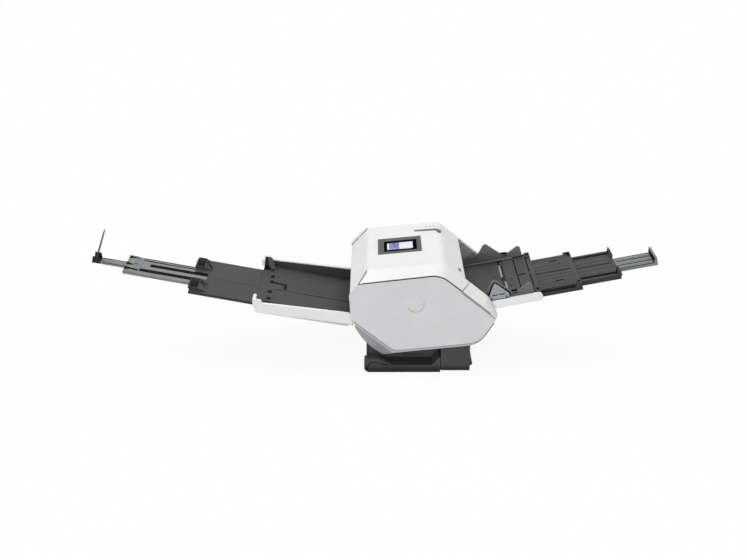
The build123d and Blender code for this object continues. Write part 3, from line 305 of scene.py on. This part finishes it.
def solder_mask():
    """Circuit board: green solder mask over glass fibre, with raised copper tracks."""
    material, place = new_material("green_solder_mask")
    tracks = add(
        material, "ShaderNodeTexBrick",
        {"Scale": 60.0, "Color1": linear("#1D5B34"), "Color2": linear("#17502D"), "Mortar": linear("#2F7A4A"),
         "Mortar Size": 0.02},
        {"Vector": place},
    )
    surface = add(material, "ShaderNodeBsdfPrincipled", {"Roughness": 0.35}, {"Base Color": tracks.outputs[0]})
    add(material, "ShaderNodeOutputMaterial", {}, {"Surface": surface.outputs[0]})
    return material


dress(solder_mask(), "control_board")


# The case: a bottom pan, two hollow side housings and their flat outer panels.
# All are injection-moulded ABS; the housings are white, the side panels a cooler light grey,
# and the pan a shade darker. The far side carries the mains inlet, rocker switch and data port.
dress(black_abs, "power_inlet", "power_switch")
# White ABS: its fine grain spreads the light. The satin white and greys are smoother, with a soft shine,
# and the coarser charcoal is nearly matt
white_abs = moulded(
    "white_fine_grained_abs", "#F0F0F0", "#FAFAFA", grain_mm=0.8, depth_mm=0.03, roughness=0.42, edge_mm=1.0,
)
bright_abs = moulded(
    "bright_white_satin_abs", "#FBFBFC", "#FEFEFE", grain_mm=0.7, depth_mm=0.02, roughness=0.4, edge_mm=1.0,
)
grey_abs = moulded("light_grey_satin_abs", "#E6E6E8", "#F0F0F2", grain_mm=0.7, depth_mm=0.02, roughness=0.45)
charcoal_abs = moulded("charcoal_grained_abs", "#3A3A3B", "#505052", grain_mm=0.9, depth_mm=0.05, roughness=0.55)
pan_abs = moulded("pan_light_grey_abs", "#C4C5C7", "#D8D9DB", grain_mm=0.8, depth_mm=0.03, roughness=0.45)
dress(white_abs, "near_housing", "far_housing")
dress(grey_abs, "near_side_panel", "far_side_panel")
dress(pan_abs, "bottom_cover")
dress(charcoal_abs, "exit_cover", "lower_guide")

# Four screws hold the far panel, their heads sunk just below its face
panel_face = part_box("far_side_panel")[1][1]
outwards = Matrix.Rotation(-math.pi / 2, 4, "X")
for i, (x, z) in enumerate(((-0.135, 0.235), (-0.100, 0.112), (0.165, 0.112), (0.120, 0.215))):
    screw(f"far_panel_screw_{i + 1}", "base", (x, panel_face - 0.0020, z), outwards, head_mm=6.0)


# Top cover: the white bevelled shell, hinged at the output side, with a press button that unlatches it.
# Thin black strips of painted shade follow its left corners. A smoked status window and three small
# light windows are set in the top near the far edge.
dress(white_abs, "top_cover")
dress(black_abs, "cover_button")


def rod(name, body, start, end, radius_mm, material):
    """A thin round strip between two points in millimetres, with domed ends."""
    a, b = Vector(start) / 1000, Vector(end) / 1000
    bpy.ops.object.select_all(action="DESELECT")
    bpy.ops.mesh.primitive_cylinder_add(vertices=12, radius=radius_mm / 1000, depth=(b - a).length)
    round_edges(radius_mm * 0.45)
    turn = (b - a).to_track_quat("Z", "Y").to_matrix().to_4x4()
    settle(name, body, material, Matrix.Translation((a + b) / 2) @ turn)


# Black rubber strips of painted shade, slightly proud of the seam, darken the slits at the cover's left corners
rod("corner_shade_strip_near", "cover", (-139.5, -183.0, 286.0), (-162.0, -220.3, 261.0), 0.9, black_rubber)
rod("corner_shade_strip_far", "cover", (-139.5, 181.0, 286.3), (-162.0, 181.0, 261.6), 1.0, black_rubber)
rod("skirt_shade_strip_far", "base", (-163.2, 181.0, 260.3), (-186.4, 181.0, 234.6), 1.0, black_rubber)


def plate(corners, low, high, edge_mm):
    """A flat piece cut to an outline of X, Y corners in millimetres, rising from one height to another."""
    bpy.ops.object.select_all(action="DESELECT")
    bpy.ops.mesh.primitive_circle_add(vertices=len(corners), fill_type="NGON")
    piece = bpy.context.object
    for vertex, (x, y) in zip(piece.data.vertices, corners):
        vertex.co = (x / 1000, y / 1000, low / 1000)
    bpy.ops.object.mode_set(mode="EDIT")
    bpy.ops.mesh.select_all(action="SELECT")
    bpy.ops.mesh.extrude_region_move(TRANSFORM_OT_translate={"value": (0, 0, (high - low) / 1000)})
    bpy.ops.mesh.select_all(action="SELECT")
    bpy.ops.mesh.normals_make_consistent(inside=False)
    bpy.ops.object.mode_set(mode="OBJECT")
    round_edges(edge_mm)


def wedge(name, body, profile, end, other_end, edge_mm, material, place):
    """A bar along Y between two ends, with a section given as X, Z corners in millimetres."""
    plate(profile, min(end, other_end), max(end, other_end), edge_mm)
    upright = Matrix(((1, 0, 0, 0), (0, 0, 1, 0), (0, 1, 0, 0), (0, 0, 0, 1)))
    bpy.context.object.data.transform(upright)
    bpy.context.object.data.flip_normals()
    settle(name, body, material, place)


# Each side's name and the sign of its Y
sides = (("near", -1), ("far", 1))
# A black strip of painted shade fills the seam between the cover and each side panel
seam = [
    (-161.5, 259.9), (31.0, 282.6), (43.4, 282.6), (55.0, 280.9), (66.0, 276.6), (75.6, 270.0), (173.0, 192.6),
    (192.0, 176.6),
]
band = [(x + 0.6, z + 1.2) for x, z in seam] + [(x - 0.3, z - 0.1) for x, z in reversed(seam)]
for side, y in sides:
    wedge(f"seam_painted_shade_{side}", "base", band, y * 219.4, y * 221.2, 0.1, black_rubber, Matrix.Identity(4))

# Black rubber lips on either side of the button keep dust out of its slot.
# The cover's slope falls 97 mm over 121 mm there.
button_face = Matrix.Translation((0.1125, -0.132, 0.27053)) @ Matrix.Rotation(math.atan2(97, 121), 4, "Y")
for side, y in sides:
    lip = [(-4, y * 5.6), (4, y * 5.6), (4, y * 8), (2, y * 10.5), (-2, y * 10.5), (-4, y * 8)]
    plate(lip, -0.6, 0.35, 0.15)
    settle(f"button_lip_{side}", "cover", black_rubber, button_face)

# The cover's top face rises 20 mm over 205 mm from its left corner, and the windows lie in it.
# Smoked polycarbonate: a dark grey window, satin so that it does not mirror
top_face = Matrix.Translation((-0.138, 0, 0.287)) @ Matrix.Rotation(-math.atan2(20, 205), 4, "Y")
smoked = moulded("smoked_polycarbonate", "#6A6B6D", "#7A7B7D", grain_mm=0.5, depth_mm=0.01, roughness=0.3)
plate([(134, 113), (134, 124), (198, 121), (212, 100), (210, 88), (204, 90), (193, 109)], -2.4, 0.35, 0.2)
settle("status_window", "cover", smoked, top_face)
light_row_y = 0.1445
for i, s in enumerate((0.169, 0.181, 0.192)):
    bpy.ops.object.select_all(action="DESELECT")
    bpy.ops.mesh.primitive_cylinder_add(vertices=20, radius=0.0021, depth=0.0012, location=(s, light_row_y, 0))
    pick_top()
    bpy.ops.mesh.inset(thickness=0.0005)
    bpy.ops.transform.translate(value=(0, 0, -0.0003))
    bpy.ops.object.mode_set(mode="OBJECT")
    round_edges(0.15)
    settle(f"light_window_{i + 1}", "cover", smoked, top_face)


# Display: a satin grey surround with a black touch glass set in it.
# The glass is bonded from behind, and lights up with a plain start screen:
# a violet field of round-cornered keys at the left and a pale message field at the right.
bezel_abs = moulded(
    "satin_dark_grey_abs", "#555657", "#68696A", grain_mm=0.6, depth_mm=0.015, roughness=0.45, mirror=0.1,
)
dress(bezel_abs, "display_bezel")
# The touch glass has an anti-glare coat, so it reads as plain black
dress(glass("black_touch_glass", "#060607", clear=0.0, mirror=0.0), "touch_glass")


def lit_screen():
    """Liquid-crystal screen that shines by itself: rows of pale keys on violet, then a pale field."""
    material = new_material("lit_liquid_crystal")[0]
    across = add(material, "ShaderNodeUVMap").outputs["UV"]
    parts = add(material, "ShaderNodeSeparateXYZ", {}, {0: across})
    keys = add(
        material, "ShaderNodeTexBrick",
        {"Scale": 5.0, "Color1": linear("#B9B9DC"), "Color2": linear("#6C6CA8"), "Mortar": linear("#555592"),
         "Mortar Size": 0.06, "Row Height": 0.8, "Brick Width": 0.7},
        {"Vector": across},
    )
    lines = add(
        material, "ShaderNodeTexBrick",
        {"Scale": 3.0, "Color1": linear("#F1EFFC"), "Color2": linear("#E2E0F6"), "Mortar": linear("#FAFAFF"),
         "Mortar Size": 0.06, "Row Height": 1.1, "Brick Width": 2.0},
        {"Vector": across},
    )
    # The violet field runs from 7% to 47% of the width
    right = add(material, "ShaderNodeMath", {"operation": "GREATER_THAN", 1: 0.47}, {0: parts.outputs["X"]})
    left = add(material, "ShaderNodeMath", {"operation": "LESS_THAN", 1: 0.07}, {0: parts.outputs["X"]})
    side = add(material, "ShaderNodeMath", {"operation": "MAXIMUM"}, {0: right.outputs[0], 1: left.outputs[0]})
    picture = add(
        material, "ShaderNodeMix", {"data_type": "RGBA"},
        {0: side.outputs[0], 6: keys.outputs["Color"], 7: lines.outputs["Color"]},
    )
    shine = add(material, "ShaderNodeEmission", {"Strength": 1.0}, {"Color": picture.outputs[2]})
    add(material, "ShaderNodeOutputMaterial", {}, {"Surface": shine.outputs[0]})
    return material


# The lit area: its reach up the slope, and across it, in metres
screen_s = (0.0552, 0.1265)
screen_y = (-0.0318, 0.0240)
above_glass = 0.00032
bpy.ops.object.select_all(action="DESELECT")
bpy.ops.mesh.primitive_plane_add(size=1)
screen = bpy.context.object
screen.location = ((screen_s[0] + screen_s[1]) / 2, (screen_y[0] + screen_y[1]) / 2, above_glass)
screen.scale = (screen_s[1] - screen_s[0], screen_y[1] - screen_y[0], 1)
bpy.ops.object.transform_apply(location=True, rotation=True, scale=True)
bpy.ops.object.mode_set(mode="EDIT")
bpy.ops.mesh.select_all(action="SELECT")
bpy.ops.mesh.bevel(offset=0.002, segments=4, affect="VERTICES")
bpy.ops.object.mode_set(mode="OBJECT")
settle("lit_screen", "cover", lit_screen(), top_face)


# Under the cover: the folded upper guide with its cheeks, which shows beside the feed mouth.
# It is grey glass-filled ABS, lighter than the trays, and carries the pick and separation rollers.
filled_abs = moulded("mid_grey_filled_abs", "#8A8B8C", "#9A9B9C", grain_mm=0.9, depth_mm=0.05, roughness=0.5)
dress(filled_abs, "upper_guide")


# Output tray: a charcoal ribbed floor between two white rims, hinged on two pins.
# Its outer end has stop pockets for the paper ends, a latch slot shaped like an L,
# and corners behind the white ears, all darkened with black pieces of painted shade.
dress(charcoal_abs, "stacker_tray", "stacker_extension_1")
dress(bright_abs, "stacker_rims")
# Pieces on the tray are measured in millimetres from its hinge, along its floor and up from it
stacker = Matrix.Translation((-0.176, 0, 0.143)) @ Matrix.Rotation(math.radians(10.6), 4, "Y")


def moulding(corner, opposite, edge_mm, rim_mm=0.0, sink_mm=0.0):
    """A block between two corners in millimetres with rounded edges, its top sunk inside a rim if asked."""
    bpy.ops.object.select_all(action="DESELECT")
    bpy.ops.mesh.primitive_cube_add(size=1)
    piece = bpy.context.object
    piece.location = [(a + b) / 2000 for a, b in zip(corner, opposite)]
    piece.scale = [abs(b - a) / 1000 for a, b in zip(corner, opposite)]
    bpy.ops.object.transform_apply(location=True, rotation=True, scale=True)
    if sink_mm:
        pick_top()
        bpy.ops.mesh.inset(thickness=rim_mm / 1000)
        bpy.ops.transform.translate(value=(0, 0, -sink_mm / 1000))
        bpy.ops.object.mode_set(mode="OBJECT")
    round_edges(edge_mm)


# Jet-black ABS with hardly any shine: most pieces of it are painted shade in pockets, holes, slots and corners,
# where they read as holes, and a few are small black parts
jet_abs = moulded(
    "jet_black_abs_and_painted_shade", "#0D0D0E", "#202021", grain_mm=0.8, depth_mm=0.03, roughness=0.6,
    edge_mm=0.4, mirror=0.05,
)
# The tray's floor dips by 2 mm from its edges to its middle
edge_t, dip_mm, half_floor = -14, 2.0, 174.0
# The black pieces in the stop pockets and the latch slot are painted shade
for i, y in enumerate((140, 81, 40, -39, -91)):
    floor_t = edge_t - dip_mm * (1 - abs(y) / half_floor)
    moulding((-243.5, y - 10, floor_t - 1.5), (-231.5, y + 10, floor_t + 0.55), 0.4, rim_mm=1.4, sink_mm=0.3)
    settle(f"stop_pocket_{i + 1}", "stacker", jet_abs, stacker)
plate([(-242, 46), (-242, 34), (-201, 26), (-201, -6), (-193, -5), (-193, 38)], -16.9, -15.2, 0.3)
settle("latch_slot", "stacker", jet_abs, stacker)
# A slightly paler strip caps the floor's long rib as painted highlight
rib_highlight_abs = moulded(
    "painted_highlight_charcoal_abs", "#56575A", "#66676A", grain_mm=0.8, depth_mm=0.02, roughness=0.45,
)
moulding((-228.2, -10.6, -15.7), (-2.6, -7.9, -14.4), 0.3)
settle("floor_rib_painted_highlight", "stacker", rib_highlight_abs, stacker)
# Black pieces of painted shade fill the corners behind the ears
for side, y in sides:
    shade_outline = [(-268, y * 128), (-268, y * 164), (-258, y * 168), (-247, y * 150), (-247, y * 134), (-257, y * 126)]
    plate(shade_outline if y > 0 else shade_outline[::-1], -15.6, -13.6, 0.4)
    settle(f"corner_shade_outline_{side}", "stacker", jet_abs, stacker)


# First output extension: a flat charcoal slide with two ramped end blocks.
# The ramps carry black wear caps, and diagonal ribs run down their backs.
cap = [(-455.6, -17.4), (-460.6, -13.6), (-455.8, -8.0), (-434.5, -8.0), (-432.6, -10.6), (-436, -9.0), (-455, -9.0)]
for side, y in sides:
    wedge(f"wear_cap_{side}", "stacker_extension_1", cap, y * 51.0, y * 117.0, 0.3, jet_abs, stacker)
ramp = stacker @ Matrix.Translation((-0.4326, 0, -0.0100)) @ Matrix.Rotation(math.radians(18.5), 4, "Y")
for side, ribs in (("far", ((112, 66), (95, 56))), ("near", ((-53, -76), (-68, -94)))):
    for i, (top_y, foot_y) in enumerate(ribs):
        plate([(0.5, top_y), (20.0, foot_y), (24.0, foot_y), (4.5, top_y)], -1.5, 0.6, 0.2)
        settle(f"ramp_rib_{side}_{i + 1}", "stacker_extension_1", jet_abs, ramp)


# Second output extension: mid-grey ABS, with three pointed guides at its end.
# Black strips of painted shade lie in its long slots, and dark pieces of painted shade sit between the points.
# The third extension has the same grey, and turns black at its hinge head.
mid_abs = moulded("mid_grey_satin_abs", "#858789", "#989A9C", grain_mm=0.7, depth_mm=0.03, roughness=0.45)
head_abs = moulded(
    "mid_grey_black_headed_abs", "#858789", "#989A9C", grain_mm=0.7, depth_mm=0.03, roughness=0.45,
    second=("#161617", "X", -0.8866, -0.8856),
)
dress(mid_abs, "stacker_extension_2", "hopper_extension_3")
dress(head_abs, "stacker_extension_3")
# Soot-black and matt, with no shine at all: painted shade in slots, grooves and seams
painted_shade_strip = rubber("black_matt_painted_shade_strip", "#0B0B0C", grain_mm=0.5, dusty="#1A1A1B", mirror=0.05)
# The black strips in the long slots are painted shade
for i, (low_y, high_y, end_s) in enumerate(((60, 65, -618), (44, 50, -610), (5, 26, -583), (-41, -19, -610))):
    moulding((end_s, low_y, -21.0), (-404, high_y, -20.45), 0.12, rim_mm=0.6, sink_mm=0.05)
    settle(f"slot_painted_shade_strip_{i + 1}", "stacker_extension_2", painted_shade_strip, stacker)
# The dark pieces between the points are painted shade in the notches
for i, (high_y, low_y, tip_y, tip_s) in enumerate(((64, 36, 48, -617), (11, -20, 4, -616), (-24, -57, -38, -609))):
    plate([(-647.6, high_y - 1.2), (-647.6, low_y + 1.2), (tip_s, tip_y)], -21.0, -17.4, 0.2)
    settle(f"point_painted_shade_{i + 1}", "stacker_extension_2", jet_abs, stacker)


# Third output extension and its folding stopper: a narrow ABS slide with black strips of painted shade along both
# edges.
# Black caps close its hinge head, and the stopper, moulded in black, folds down over it.
dress(black_abs, "stopper")
for side, y in sides:
    moulding((-716, y * 14.6, -23.05), (-650, y * 18.2, -22.74), 0.1)
    settle(f"slide_edge_{side}", "stacker_extension_3", painted_shade_strip, stacker)
    moulding((-740.6, y * 17.4, -10.2), (-722.8, y * 19.9, -9.2), 0.3, rim_mm=0.6, sink_mm=0.2)
    settle(f"head_cap_{side}", "stacker_extension_3", jet_abs, stacker)


# Feed tray: a charcoal table between white trims, raised by its screw.
# Two pale acetal racks lie in its cross slot and turn one pinion, so both side guides move alike.
dress(charcoal_abs, "hopper_table")
dress(bright_abs, "hopper_trims")
# Pieces on the table are measured in millimetres from a point at the feed mouth, along it and up from it
hopper = Matrix.Translation((0.145, 0, 0.180)) @ Matrix.Rotation(math.radians(-11), 4, "Y")
# Acetal: pale grey and waxy
acetal = moulded("pale_grey_acetal", "#A6A8AA", "#B8BABC", grain_mm=0.6, depth_mm=0.01, roughness=0.35)
rack_width, tooth_length, tooth_width, tooth_pitch = 4.8, 1.6, 1.5, 3
for body, low_s, low_y, high_y, teeth_s in (
    ("near_guide", 102.5, -84.0, -31.0, 102.5), ("far_guide", 96.5, 8.0, 103.0, 99.7),
):
    moulding((low_s, low_y, -1.0), (low_s + rack_width, high_y, -0.5), 0.2)
    strip = bpy.context.object
    first_y = low_y + 0.5
    moulding((teeth_s, first_y, -0.6), (teeth_s + tooth_length, first_y + tooth_width, -0.15), 0.15)
    row = bpy.context.object.modifiers.new("row", "ARRAY")
    row.use_relative_offset = False
    row.use_constant_offset = True
    row.constant_offset_displace = (0, tooth_pitch / 1000, 0)
    row.count = int((high_y - low_y) / tooth_pitch)
    bpy.ops.object.modifier_apply(modifier="row")
    strip.select_set(True)
    bpy.context.view_layer.objects.active = strip
    bpy.ops.object.join()
    settle(f"{body}_rack", body, acetal, hopper)
# Black covers over the racks' outer ends are painted shade in the open slot
for body, low_s, low_y, high_y in (("near_guide", 102.5, -147.0, -84.5), ("far_guide", 96.5, 103.5, 147.0)):
    moulding((low_s, low_y, -1.0), (low_s + rack_width, high_y, -0.5), 0.2)
    settle(f"{body}_rack_slot_painted_shade", body, jet_abs, hopper)
# Black strips of painted shade lie in the table's cross grooves and side pockets
for i, s in enumerate((141.0, 176.4)):
    for side, y in sides:
        moulding((s - 0.5, y * 8.4, -1.1), (s + 3.0, y * 131.5, 0.28), 0.1)
        settle(f"groove_felt_{side}_{i + 1}", "hopper", painted_shade_strip, hopper)
for side, y in sides:
    moulding((145.4, y * 143.4, -2.7), (176.6, y * 154.6, -1.2), 0.2, rim_mm=1.0, sink_mm=0.2)
    settle(f"side_pocket_{side}", "hopper", painted_shade_strip, hopper)
moulding((140.3, -5.5, -1.0), (165.7, 3.5, 0.3), 0.15)
settle("centre_mark", "hopper", jet_abs, hopper)


# Side guides: two-peaked fins that press the paper square, each on a foot that slides on the table.
# They are grey glass-filled nylon, with painted shade that darkens them towards the foot;
# the near one carries a pale squeeze lever in a black surround.
guide_nylon = moulded(
    "grey_filled_nylon", "#747677", "#868889", grain_mm=0.8, depth_mm=0.04, roughness=0.5,
    second=("#565859", "Z", 0.200, 0.240),
)
dress(guide_nylon, "near_guide", "far_guide")
# Pale grey ABS with a satin face, so that the lever stands out for the hand
lever_abs = moulded("pale_grey_satin_abs", "#A3A6AA", "#B4B7BB", grain_mm=0.6, depth_mm=0.02, roughness=0.4)
dress(lever_abs, "guide_lever")
gasket = [(46.5, 2.5), (46.5, 13), (64, 46.5), (71, 51.5), (78.5, 46.5), (109, 14.5), (109, 2.5)]
wedge("lever_gasket", "near_guide", gasket, -155.45, -155.0, 0.15, jet_abs, hopper)
# Dark inserts fill the slot through each fin, on both of its faces
insert = [(114.2, 8.2), (114.2, 10.3), (127.8, 10.3), (127.8, 8.2)]
for body, face, low_y, high_y in (
    ("near_guide", "outer", -155.3, -153.4), ("near_guide", "inner", -150.6, -148.7),
    ("far_guide", "inner", 148.7, 150.6), ("far_guide", "outer", 153.4, 155.3),
):
    wedge(f"{body}_slot_{face}", body, insert, low_y, high_y, 0.2, jet_abs, hopper)
# A black clip sits over the valley between each fin's peaks
clip = [(113, 14.6), (129, 13.6), (129, 17.9), (113, 19.9)]
for side, y in sides:
    wedge(f"{side}_guide_clip", f"{side}_guide", clip, y * 148.5, y * 155.5, 0.3, jet_abs, hopper)
# A pale strip of painted highlight runs along the top of each guide's foot
for side, y in sides:
    moulding((-7.0, y * 141.2, 1.8), (141.6, y * 148.8, 2.4), 0.2)
    settle(f"{side}_guide_painted_highlight_strip", f"{side}_guide", mid_abs, hopper)


# Feed tray extensions: three nested slides with moulded ribs and turned-up ends.
# The first two are grained ABS in dark charcoal, which hardly shines, and the last is mid-grey.
# Black strips of painted shade lie in their long slots, and black pieces of painted shade in the short ones.
dark_abs = moulded("dark_charcoal_grained_abs", "#373738", "#4C4C4E", grain_mm=0.9, depth_mm=0.05, roughness=0.55)
dress(dark_abs, "hopper_extension_1", "hopper_extension_2")
# The black pieces in the finger slots are painted shade
for i, y in enumerate((81, -75)):
    moulding((241, y - 3, -11.0), (264, y + 3, -9.2), 0.6, rim_mm=1.0, sink_mm=0.5)
    settle(f"finger_slot_{i + 1}", "hopper_extension_1", jet_abs, hopper)
# Painted shade: black strips along the centre lines and the side edges
moulding((104.3, -2.8, -9.6), (292.7, 2.8, -8.25), 0.1)
settle("centre_painted_shade_strip_1", "hopper_extension_1", painted_shade_strip, hopper)
moulding((263.3, -2.8, -14.9), (405.7, 2.8, -13.75), 0.1)
settle("centre_painted_shade_strip_2", "hopper_extension_2", painted_shade_strip, hopper)
end_shade_outline = [(409.9, -14.3), (411.6, -14.3), (412.1, -6.0), (410.6, -6.0)]
last_end_shade_outline = [(519.2, -20.6), (520.6, -20.6), (523.4, -6.2), (522.2, -6.2)]
for side, y in sides:
    moulding((98.4, y * 119.2, -16.1), (286.6, y * 127.6, -15.2), 0.2, rim_mm=1.0, sink_mm=0.2)
    settle(f"side_painted_shade_strip_{side}_1", "hopper_extension_1", painted_shade_strip, hopper)
    moulding((262.9, y * 71.0, -15.0), (410.1, y * 88.0, -13.7), 0.2, rim_mm=1.0, sink_mm=0.1)
    settle(f"side_painted_shade_strip_{side}_2", "hopper_extension_2", painted_shade_strip, hopper)
    for name, inner_y, outer_y in (("rib", 13.0, 18.0), ("edge", 40.0, 44.2)):
        moulding((425.0, y * inner_y, -21.5), (519.0, y * outer_y, -20.2), 0.1)
        settle(f"{name}_felt_{side}", "hopper_extension_3", painted_shade_strip, hopper)
    # Black pieces of painted shade line the corner holes and the turned-up ends where the paper stops
    moulding((290.2, y * 121.2, -13.4), (302.8, y * 125.8, -5.9), 0.2, rim_mm=0.8, sink_mm=0.5)
    settle(f"corner_hole_painted_shade_{side}", "hopper_extension_1", jet_abs, hopper)
    moulding((296.0, y * 99.0, -8.7), (303.8, y * 118.5, -7.6), 0.2, rim_mm=1.0, sink_mm=0.3)
    settle(f"corner_face_painted_shade_{side}", "hopper_extension_1", jet_abs, hopper)
    wedge(f"end_painted_shade_{side}", "hopper_extension_2", end_shade_outline, y * 67.0, y * 89.0, 0.2, jet_abs, hopper)
wedge("end_painted_shade", "hopper_extension_3", last_end_shade_outline, -42.0, 42.0, 0.2, jet_abs, hopper)


# Studio: white seamless paper, one broad lamp overhead and one from the front.
# Camera, glossy and transmitted rays see plain white paper, which keeps the object's soft shadow;
# the light that it throws back at the object is that of a mid-grey floor.
def white_for_seen_rays(material):
    """1 for rays that look at the background, directly, mirrored or through glass."""
    path = add(material, "ShaderNodeLightPath")
    both = add(
        material, "ShaderNodeMath", {"operation": "MAXIMUM"},
        {0: path.outputs["Is Camera Ray"], 1: path.outputs["Is Glossy Ray"]},
    )
    seen = add(
        material, "ShaderNodeMath", {"operation": "MAXIMUM"},
        {0: both.outputs[0], 1: path.outputs["Is Transmission Ray"]},
    )
    return seen.outputs[0]


bpy.ops.object.select_all(action="DESELECT")
bpy.ops.mesh.primitive_plane_add(size=60, location=(0, 0, 0))
floor = bpy.context.object
floor.name = "floor"
# Uncoated paper: even white, with 7% of its light from the lamps so that the shadow stays
paper, place = new_material("white_studio_paper")
seen = white_for_seen_rays(paper)
fibres = add(paper, "ShaderNodeTexNoise", {"Scale": 400.0, "Detail": 2.0}, {"Vector": place})
tone = add(
    paper, "ShaderNodeMix", {"data_type": "RGBA", 6: linear("#F6F6F6"), 7: linear("#FFFFFF")},
    {0: fibres.outputs["Fac"]},
)
thrown = add(paper, "ShaderNodeMix", {"data_type": "RGBA", 6: linear("#8C8C8C")}, {0: seen, 7: tone.outputs[2]})
sheet_paper = add(paper, "ShaderNodeBsdfDiffuse", {}, {"Color": thrown.outputs[2]})
lit_paper = add(paper, "ShaderNodeEmission", {"Strength": 1.0})
share = add(paper, "ShaderNodeMath", {"operation": "MULTIPLY", 1: 0.93}, {0: seen})
blend = add(
    paper, "ShaderNodeMixShader", {},
    {0: share.outputs[0], 1: sheet_paper.outputs[0], 2: lit_paper.outputs[0]},
)
add(paper, "ShaderNodeOutputMaterial", {}, {"Surface": blend.outputs[0]})
floor.data.materials.append(paper)

# The walls look white, and light the object with 42% of that
world = bpy.data.worlds.new("studio_walls")
bpy.context.scene.world = world
world.use_nodes = True
walls = world.node_tree.nodes["Background"]
walls.inputs["Color"].default_value = (1, 1, 1, 1)
strength = add(
    world, "ShaderNodeMapRange", {"To Min": 0.42, "To Max": 1.0}, {"Value": white_for_seen_rays(world)},
)
world.node_tree.links.new(strength.outputs[0], walls.inputs["Strength"])
for name, turn, power in (("overhead_lamp", (-18, -6, 0), 1.5), ("front_lamp", (83, 0, -10), 2.28)):
    lamp = bpy.data.lights.new(name, "SUN")
    lamp.energy = power
    lamp.angle = math.radians(60)
    holder = bpy.data.objects.new(name, lamp)
    holder.rotation_euler = [math.radians(degrees) for degrees in turn]
    bpy.context.collection.objects.link(holder)

# The camera stands 3.5 m in front of the object and looks down on it by 20.4 degrees
lens = bpy.data.cameras.new("camera")
lens.lens = 62.84
lens.sensor_width = 36
camera = bpy.data.objects.new("camera", lens)
camera.location = (-0.1215, -3.4567, 1.4775)
camera.rotation_euler = (math.radians(90 - 20.4), 0, 0)
bpy.context.collection.objects.link(camera)
bpy.context.scene.camera = camera
bpy.context.scene.view_settings.view_transform = "Standard"
